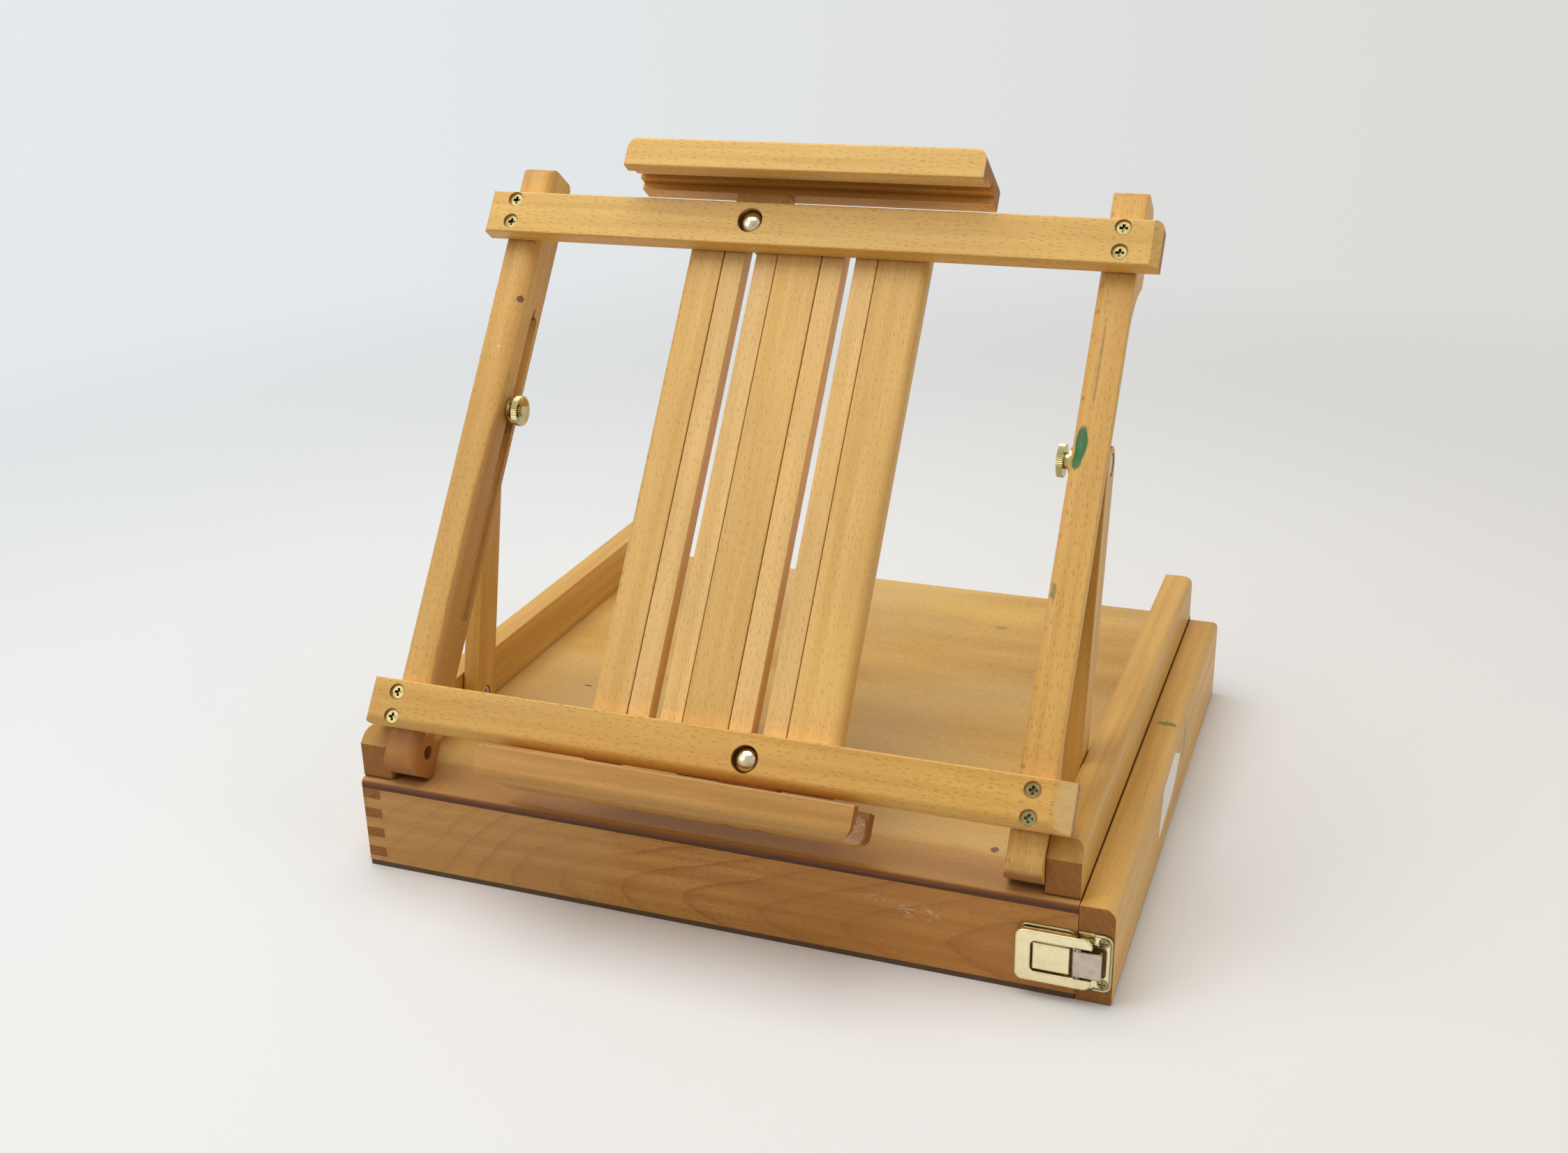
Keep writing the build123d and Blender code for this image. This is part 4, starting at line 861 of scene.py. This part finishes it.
@dataclass(frozen=True)
class Floor:
    """Pale studio paper, tinted cooler at the left and warmer at the right with a painted tint of
    the light, that fades into the background far away.
    """

    half: float = 14.0
    cool: str = "#e8ebed"
    warm: str = "#ebe9e6"
    warm_step: Pair = (-0.7, 0.6)
    cloud: float = 1000 / 3 * MM
    cloud_share: float = 0.2
    fade: Pair = (0.5, 1.5)
    roughness: float = 0.75
    specular: float = 0.2

    def build(self) -> None:
        """Lay the floor that the easel stands on."""
        half = self.half
        corners = [(-half, -half, 0), (half, -half, 0), (half, half, 0), (-half, half, 0)]
        mesh = bpy.data.meshes.new("floor")
        mesh.from_pydata(corners, [], [(0, 1, 2, 3)])
        mesh.materials.append(self.paper("floor_paper"))
        floor = bpy.data.objects.new("floor", mesh)
        bpy.context.scene.collection.objects.link(floor)

    def paper(self, name: str) -> bpy.types.Material:
        """Make the floor's material.

        Args:
            name: The material's name.

        Returns:
            The material.
        """
        graph = Graph.material(name)
        spot = graph.add("TexCoord", {}, "Object")
        # Cool at the left, warm at the right: a painted tint of the light falling there.
        side = graph.ramp(graph.along(spot, RIGHT), *self.warm_step)
        cloud = graph.noise(spot, 1 / self.cloud)
        tint = graph.math("MULTIPLY_ADD", cloud, self.cloud_share, side)
        paper = graph.add("BsdfPrincipled", {
            "Base Color": graph.mix(tint, linear(self.cool), linear(self.warm)),
            "Roughness": self.roughness, "Specular IOR Level": self.specular,
        }, "BSDF")
        clear = graph.add("BsdfTransparent", {}, "BSDF")
        gone = graph.ramp(graph.length(spot), *self.fade)
        return graph.close(graph.add("MixShader", {0: gone, 1: paper, 2: clear}))


class Wood(Enum):
    """The woods of the easel, each with its own light and dark colour. Some also carry painted
    light and shade, as noted at each.
    """

    # Darker box wood: partly painted shade, for the box's boards face the front and get less
    # light.
    BOX = Beech("#cd9447", "#b97c33", fleck="#824a19", fleck_strength=0.6, edge_wear=0.2)
    RINGED = replace(BOX, rings=Rings())
    # The lid's pale clouds are partly painted sheen.
    LID = replace(
        BOX, light="#dbaf58", dark="#c89743", band=(200 * MM, 30 * MM, 30 * MM), haze_and_sheen=0.3,
        # Its ply edge carries painted shade of the tray.
        roughness=0.46, ply_edge=PlyEdge(),
    )
    RAIL = Beech("#deae58", "#cc9843", fleck_strength=0.35)
    INNER = Beech("#e0bb82", "#d0a366", roughness=0.6, fleck_strength=0.4)
    # Lighter than the stiles and the lower crossbar: painted light, for the light falls off
    # towards the bottom.
    FRAME = Beech("#ecbf68", "#dfac56")
    # Darker than the frame wood above: partly painted shade of the light falling off towards the
    # bottom.
    STILE = Beech("#e2b161", "#d39f4f")
    BAR = Beech("#e3b25e", "#d5a14c")
    MAST = Beech("#ecbe70", "#dfaf5e", fleck_strength=0.5)
    # Lighter than the mast boards: painted light against the shade of the slats' recess.
    SLAT = Beech("#f2c67e", "#e6b86c", fleck_strength=0.5)
    TRAY = Beech("#cd9a52", "#ba8340", fleck_strength=0.45)


class Fitting(Enum):
    """The metals of the easel's fittings.

    Plated steel reads as bright pale gold on the latch, turned brass as dull yellow on the
    nuts, nickel as silvery on the domed bolts, bare steel as grey on the hook and pins, and
    the screws' brass plating as old and brown, with dirt and painted shade in its recesses.
    """

    # The plated latch and the steel pieces get a strong painted dark reflection on their rims.
    PLATED = Metal("#fbf0c6", "#8d7845", 0.17, 1.5 * MM, tarnish_share=0.12, rim_dark_reflection=0.85)
    TURNED = Metal("#cdbf8a", "#86764a", 0.24, 0.1 * MM, gap=0.7 * MM)
    NICKEL = Metal("#d8c9a9", "#8d7d5c", 0.20, 0.3 * MM)
    STEEL = Metal("#cdc3b3", "#7a7061", 0.30, 1.2 * MM, tarnish_share=0.25, rim_dark_reflection=0.8)
    SCREW = Metal("#aa9c6c", "#54431f", 0.28, 0.15 * MM, tarnish_share=0.6)


@cache
def metal(fitting: Fitting) -> bpy.types.Material:
    """Make a fitting's metal the first time it is asked for."""
    return fitting.value.build("metal_" + fitting.name.lower())


def use(node: str, material: bpy.types.Material) -> None:
    """Give a carried-over CAD node its finish.

    Args:
        node: The node's name.
        material: Its finish.
    """
    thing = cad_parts[node]
    if not thing.material_slots:
        thing.data.materials.append(material)
    for slot in thing.material_slots:
        slot.material = material
    LOG.info("%s: %s", node, material.name)


@dataclass(frozen=True)
class Board:
    """One wooden CAD node.

    Args:
        node: The node's name.
        plank: The number of the plank it was cut from, which moves its pattern.
        grain: Its directions.
        wood: Its finish.
        marks: Its spots and stickers.
    """

    node: str
    plank: int
    grain: Grain
    wood: Wood
    marks: tuple[Mark | Sticker, ...] = ()

    first_seed: ClassVar[float] = 1.0
    seed_step: ClassVar[float] = 0.618

    def dress(self) -> None:
        """Give the node a wood of its own."""
        seed = self.first_seed + self.seed_step * self.plank
        use(self.node, self.wood.value.build("beech_" + self.node, self.grain, seed, self.marks))


GREEN = "#1f6b3a"


@dataclass(frozen=True)
class SubAssembly:
    """Pieces of the easel that belong together.

    Args:
        boards: The wooden pieces.
        fittings: The metal pieces, by their metal.
    """

    boards: tuple[Board, ...] = ()
    fittings: ClassVar[dict[Fitting, tuple[str, ...]]] = {}

    def dress(self) -> None:
        """Give every piece its finish."""
        for board in self.boards:
            board.dress()
        for fitting, nodes in self.fittings.items():
            for node in nodes:
                use(node, metal(fitting))


@dataclass(frozen=True)
class Box(SubAssembly):
    """The box: three finger-jointed boards, the lid with its two rails, and the thin base."""

    base: Fibreboard = Fibreboard()
    front_marks: tuple[Mark, ...] = (
        # Paler at the left, partly painted light from the left; redder wood at the right.
        Mark((-0.1700, -0.1780, 0.0300), (110, 60, 20), "#d0a060", 0.35, 0.4, 40),
        Mark((0.1100, -0.1780, 0.0250), (90, 60, 20), "#bb7630", 0.4, 0.5, 40),
        # White scuffs above the latch.
        Mark((0.0873, -0.1780, 0.0368), (9, 2.5, 2), "#dcc8ae", 0.75, 0.6, 3, True),
        Mark((0.1085, -0.1780, 0.0322), (12, 4, 2), "#dcc8ae", 0.75, 0.6, 3, True),
    )
    lid_marks: tuple[Mark, ...] = (
        # Darker, redder strip along the front, below the tray: partly painted shade of the tray,
        # partly browner wood.
        Mark((0.0, -0.1700, 0.0523), (600, 24, 3), "#b5651d", 0.35, 0.3, 60),
        # Black dash, brown spot and worn patch.
        Mark((-0.1376, -0.0354, 0.0523), (2.6, 0.8, 1), "#2a201a", 0.9, 0.2),
        Mark((0.1363, -0.1424, 0.0523), (2, 2.6, 1), "#5a3325", 0.8, 0.5, 2),
        Mark((0.0750, 0.1220, 0.0523), (3.5, 2.6, 1), "#6b5a48", 0.45, 0.9, 1.5),
    )
    rail_marks: tuple[Mark, ...] = (
        # Pin holes in the right rail, as dark dots: painted shade inside the holes.
        Mark((0.1868, 0.0655, 0.0800), (1.2, 1, 1), "#5a3218", 0.7, 0.4, 1),
        Mark((0.1857, -0.0028, 0.0800), (1.2, 1, 1), "#5a3218", 0.7, 0.4, 1),
    )

    boards: tuple[Board, ...] = (
        Board("front_board", 0, Grain.ALONG_X, Wood.RINGED, front_marks),
        Board("back_board", 1, Grain.ALONG_X, Wood.RINGED),
        Board("side_board", 2, Grain.ALONG_Y_UPRIGHT, Wood.BOX),
        Board("top_panel", 3, Grain.ALONG_X_FLAT, Wood.LID, lid_marks),
        Board("rail_left", 5, Grain.ALONG_Y, Wood.RAIL),
        Board("rail_right", 6, Grain.ALONG_Y, Wood.RAIL, rail_marks),
    )

    fittings: ClassVar[dict[Fitting, tuple[str, ...]]] = {Fitting.STEEL: ("rail_screws",)}

    def dress(self) -> None:
        """Give every piece its finish, the base too."""
        super().dress()
        use("base_panel", self.base.build("fibreboard"))


@dataclass(frozen=True)
class Drawer(SubAssembly):
    """The drawer: a thick front at the right-hand end, and plain inner boards."""

    front_marks: tuple[Mark | Sticker, ...] = (
        # Green paint on the top edge and on the face, a pin hole as a dark dot of painted shade,
        # and the sticker.
        Mark((0.1953, 0.0200, 0.0523), (2.2, 6.5, 2), GREEN, 0.7, 0.7, 2.5),
        Mark((0.2025, 0.0400, 0.0345), (3.5, 1.5, 13), "#3f7f5a", 0.6, 0.7, 4),
        Mark((0.2001, 0.0581, 0.0523), (1.2, 1, 1), "#5a3218", 0.7, 0.4, 1),
        Sticker(),
    )

    boards: tuple[Board, ...] = (
        Board("drawer_bottom", 4, Grain.ALONG_X_FLAT, Wood.INNER),
        Board("drawer_front", 7, Grain.ALONG_Y, Wood.RAIL, front_marks),
        Board("drawer_side_front", 8, Grain.ALONG_X, Wood.INNER),
        Board("drawer_side_back", 9, Grain.ALONG_X, Wood.INNER),
        Board("drawer_end", 10, Grain.ALONG_Y_UPRIGHT, Wood.INNER),
        Board("drawer_long_divider", 11, Grain.ALONG_X, Wood.INNER),
        Board("drawer_bay_dividers", 12, Grain.ALONG_Y_UPRIGHT, Wood.INNER),
    )


@dataclass(frozen=True)
class Latch(SubAssembly):
    """The case latch at the front right corner."""

    fittings: ClassVar[dict[Fitting, tuple[str, ...]]] = {
        Fitting.PLATED: (
            "latch_base", "latch_lever", "latch_strike", "latch_pin", "latch_hook_pin",
        ),
        Fitting.STEEL: ("latch_hook",),
        Fitting.SCREW: ("latch_base_screws", "latch_strike_screws"),
    }


@dataclass(frozen=True)
class EaselFrame(SubAssembly):
    """The tilting frame: stiles, crossbars, the fixed mast boards, and the struts."""

    left_marks: tuple[Mark, ...] = (
        # Knot on the front.
        Mark((-0.1691, -0.0250, 0.2812), (2, 1.9, 2.5), "#5d3438", 0.85, 0.4, 1.5),
        # Dark end of the slot, and the split that runs down from it.
        Mark((-0.1665, -0.0168, 0.2691), (5, 2.5, 1.2), "#54320f", 0.8, 0.5, 1.5),
        Mark((-0.1665, -0.0180, 0.2660), (13, 2.5, 0.5), "#5a3a18", 0.5, 0.4, 1.5),
        # Pale dot on the front.
        Mark((-0.1749, -0.0429, 0.2583), (0.9, 0.8, 0.8), "#efd9b0", 0.7, 0.3, 1.5),
        # Darker, redder foot and lower inner face: painted shade. Worn fibres by the pivot hole.
        Mark((-0.1760, -0.1740, 0.0640), (19, 30, 30), "#a05c22", 0.75, 0.5, 6),
        Mark((-0.1665, -0.1080, 0.1600), (95, 3.5, 30), "#9a6228", 0.5, 0.25, 12),
        Mark((-0.1665, -0.1810, 0.0742), (7, 3, 4), "#e9dcc4", 0.7, 0.9, 2, True),
    )
    right_marks: tuple[Mark, ...] = (
        # Green paint by the side nut, and a smaller spot below it.
        Mark((0.1535, -0.0590, 0.2370), (9.5, 3.6, 3), GREEN, 0.95, 0.25, 6),
        Mark((0.1525, -0.0640, 0.2300), (5.5, 3, 3), GREEN, 0.9, 0.35, 5),
        Mark((0.1519, -0.1033, 0.1755), (4.5, 1.6, 2), GREEN, 0.55, 0.5),
        # Crack.
        Mark((0.1567, -0.0330, 0.2719), (24, 0.7, 1.5), "#84704c", 0.5, 0.7, 2.5),
    )
    bar_marks: tuple[Mark, ...] = (
        # Worn right end of the lower crossbar.
        Mark((0.1770, -0.1725, 0.0985), (6.5, 16, 9), "#dcc59a", 0.4, 0.35, 4),
    )

    boards: tuple[Board, ...] = (
        Board("stile_left", 13, Grain.UP_EASEL, Wood.STILE, left_marks),
        Board("stile_right", 14, Grain.UP_EASEL, Wood.STILE, right_marks),
        Board("crossbar_upper", 15, Grain.ACROSS_EASEL, Wood.FRAME),
        Board("crossbar_lower", 16, Grain.ACROSS_EASEL, Wood.BAR, bar_marks),
        Board("mast_board_left", 17, Grain.UP_EASEL, Wood.MAST),
        Board("mast_board_centre", 19, Grain.UP_EASEL, Wood.MAST),
        Board("mast_board_right", 21, Grain.UP_EASEL, Wood.MAST),
        Board("strut_left", 24, Grain.UP_STRUT, Wood.RAIL),
        Board("strut_right", 25, Grain.UP_STRUT, Wood.RAIL),
    )

    fittings: ClassVar[dict[Fitting, tuple[str, ...]]] = {
        Fitting.TURNED: (
            "side_nut_left", "side_nut_right", "mast_nut_lower", "mast_nut_upper",
            "slot_bolt_left", "slot_bolt_right", "mast_washer_lower", "mast_washer_upper",
            "side_washer_left", "side_washer_right",
        ),
        Fitting.NICKEL: ("mast_bolt_lower", "mast_bolt_upper"),
        Fitting.STEEL: ("fold_pivots", "strut_pivots"),
        Fitting.SCREW: ("crossbar_screws", "mast_screws"),
    }


@dataclass(frozen=True)
class CanvasHolders(SubAssembly):
    """The clamp above, the tray below, and the two sliding slats."""

    tray_marks: tuple[Mark, ...] = (
        # Worn right end, with pale fibres.
        Mark((0.0810, -0.1920, 0.0750), (6, 12, 12), "#d6b68c", 0.45, 0.5, 3),
        Mark((0.0818, -0.1900, 0.0760), (5, 12, 12), "#efe4d2", 0.8, 0.6, 2, True),
    )

    boards: tuple[Board, ...] = (
        Board("slat_left", 18, Grain.UP_EASEL, Wood.SLAT),
        Board("slat_right", 20, Grain.UP_EASEL, Wood.SLAT),
        Board("canvas_clamp", 22, Grain.ACROSS_EASEL, Wood.FRAME),
        Board("canvas_tray", 23, Grain.ACROSS_EASEL, Wood.TRAY, tray_marks),
    )

    fittings: ClassVar[dict[Fitting, tuple[str, ...]]] = {
        Fitting.SCREW: ("clamp_screws", "tray_screws"),
    }


@dataclass(frozen=True)
class Softbox:
    """A large square lamp aimed at the easel."""

    name: str
    place: Triple
    size: float
    watts: float
    colour: str
    target: Triple = (0.0, 0.0, 0.15)

    def build(self) -> None:
        """Hang the lamp and aim it."""
        lamp = bpy.data.lights.new(self.name, "AREA")
        lamp.shape = "SQUARE"
        lamp.size = self.size
        lamp.energy = self.watts
        lamp.color = linear(self.colour)[:3]
        holder = bpy.data.objects.new(self.name, lamp)
        holder.location = self.place
        aim = Vector(self.target) - Vector(self.place)
        holder.rotation_euler = aim.to_track_quat("-Z", "Y").to_euler()
        bpy.context.scene.collection.objects.link(holder)


@dataclass(frozen=True)
class Camera:
    """The camera at the photo's viewing angle, from a fit of the box's corners.

    Angles are in degrees, the lens and the sensor in millimetres.
    """

    place: Triple = (0.30519, -0.87089, 0.4975)
    yaw: float = 20.77
    pitch: float = 21.94
    roll: float = -1.23
    lens: float = 40.0
    sensor: float = 36.0
    reach: float = 60.0

    def build(self) -> None:
        """Make the camera and use it."""
        yaw, pitch, roll = (math.radians(turn) for turn in (self.yaw, self.pitch, self.roll))
        level = Vector((math.cos(yaw), math.sin(yaw), 0))
        forward = Vector((
            -math.sin(yaw) * math.cos(pitch), math.cos(yaw) * math.cos(pitch), -math.sin(pitch),
        ))
        upright = level.cross(forward)
        right = math.cos(roll) * level + math.sin(roll) * upright
        up = math.cos(roll) * upright - math.sin(roll) * level
        data = bpy.data.cameras.new("camera")
        data.lens = self.lens
        data.sensor_width = self.sensor
        data.sensor_fit = "HORIZONTAL"
        data.clip_end = self.reach
        holder = bpy.data.objects.new("camera", data)
        turn = Matrix((right, up, -forward)).transposed().to_4x4()
        holder.matrix_world = Matrix.Translation(self.place) @ turn
        bpy.context.scene.collection.objects.link(holder)
        bpy.context.scene.camera = holder


@dataclass(frozen=True)
class Sky:
    """Soft light from all round, less from low in front, and a pale backdrop, brighter and cooler
    at the left and darker at the right with painted light and shade.

    Each step is the range of directions over which one colour becomes the other.
    """

    fill: str = "#fafafa"
    room: str = "#6f6a64"
    strength: float = 0.46
    room_front: Pair = (0.0, 0.5)
    room_low: Pair = (0.30, 0.75)
    left: str = "#e6eaed"
    right: str = "#dcdbd8"
    side_step: Pair = (-0.7, 0.1)

    def build(self) -> None:
        """Make the world and use it."""
        world = bpy.data.worlds.new("sky")
        graph = Graph(world)
        way = graph.add("TexCoord", {}, "Generated")
        # Backdrop brighter at the left and darker at the right: painted light and shade of a
        # backdrop lit from the left.
        side = graph.ramp(graph.along(way, RIGHT), *self.side_step)
        shown = graph.mix(side, linear(self.left), linear(self.right))
        front = graph.ramp(graph.along(way, FORWARD), *self.room_front)
        low = graph.ramp(graph.along(way, UP), *self.room_low, 1.0, 0.0)
        behind = graph.math("MULTIPLY", front, low)
        spread = graph.mix(behind, linear(self.fill), linear(self.room))
        backdrop = graph.add("Background", {"Color": shown, "Strength": 1.0})
        light = graph.add("Background", {"Color": spread, "Strength": self.strength})
        rays = graph.add("LightPath", {}).node.outputs
        seen = graph.math("MAXIMUM", rays["Is Camera Ray"], rays["Is Glossy Ray"])
        seen = graph.math("MAXIMUM", seen, rays["Is Transmission Ray"])
        graph.close(graph.add("MixShader", {0: seen, 1: light, 2: backdrop}))
        bpy.context.scene.world = world


@dataclass(frozen=True)
class Studio:
    """Pale floor, soft lamps, plain sky and the camera."""

    camera: Camera = Camera()
    floor: Floor = Floor()
    sky: Sky = Sky()
    lamps: tuple[Softbox, ...] = (
        Softbox("overhead", (-0.35, -0.08, 1.7), 1.4, 19.0, "#fffefb"),
        Softbox("front_left", (-1.5, -1.5, 1.5), 1.3, 9.5, "#fffdf8"),
        Softbox("right", (1.8, -0.3, 1.2), 1.3, 6.5, "#fffdf8"),
    )

    def build(self) -> None:
        """Set up the whole studio."""
        for thing in (self.camera, *self.lamps, self.floor, self.sky):
            thing.build()
        bpy.context.scene.view_settings.view_transform = "Standard"


def main() -> None:
    """Set up the studio and dress the easel's sub-assemblies in order."""
    logging.basicConfig(level=logging.INFO)
    Studio().build()
    for assembly in (Box(), Drawer(), Latch(), EaselFrame(), CanvasHolders()):
        LOG.info("dressing %s", type(assembly).__name__)
        assembly.dress()


if __name__ == "__main__":
    main()
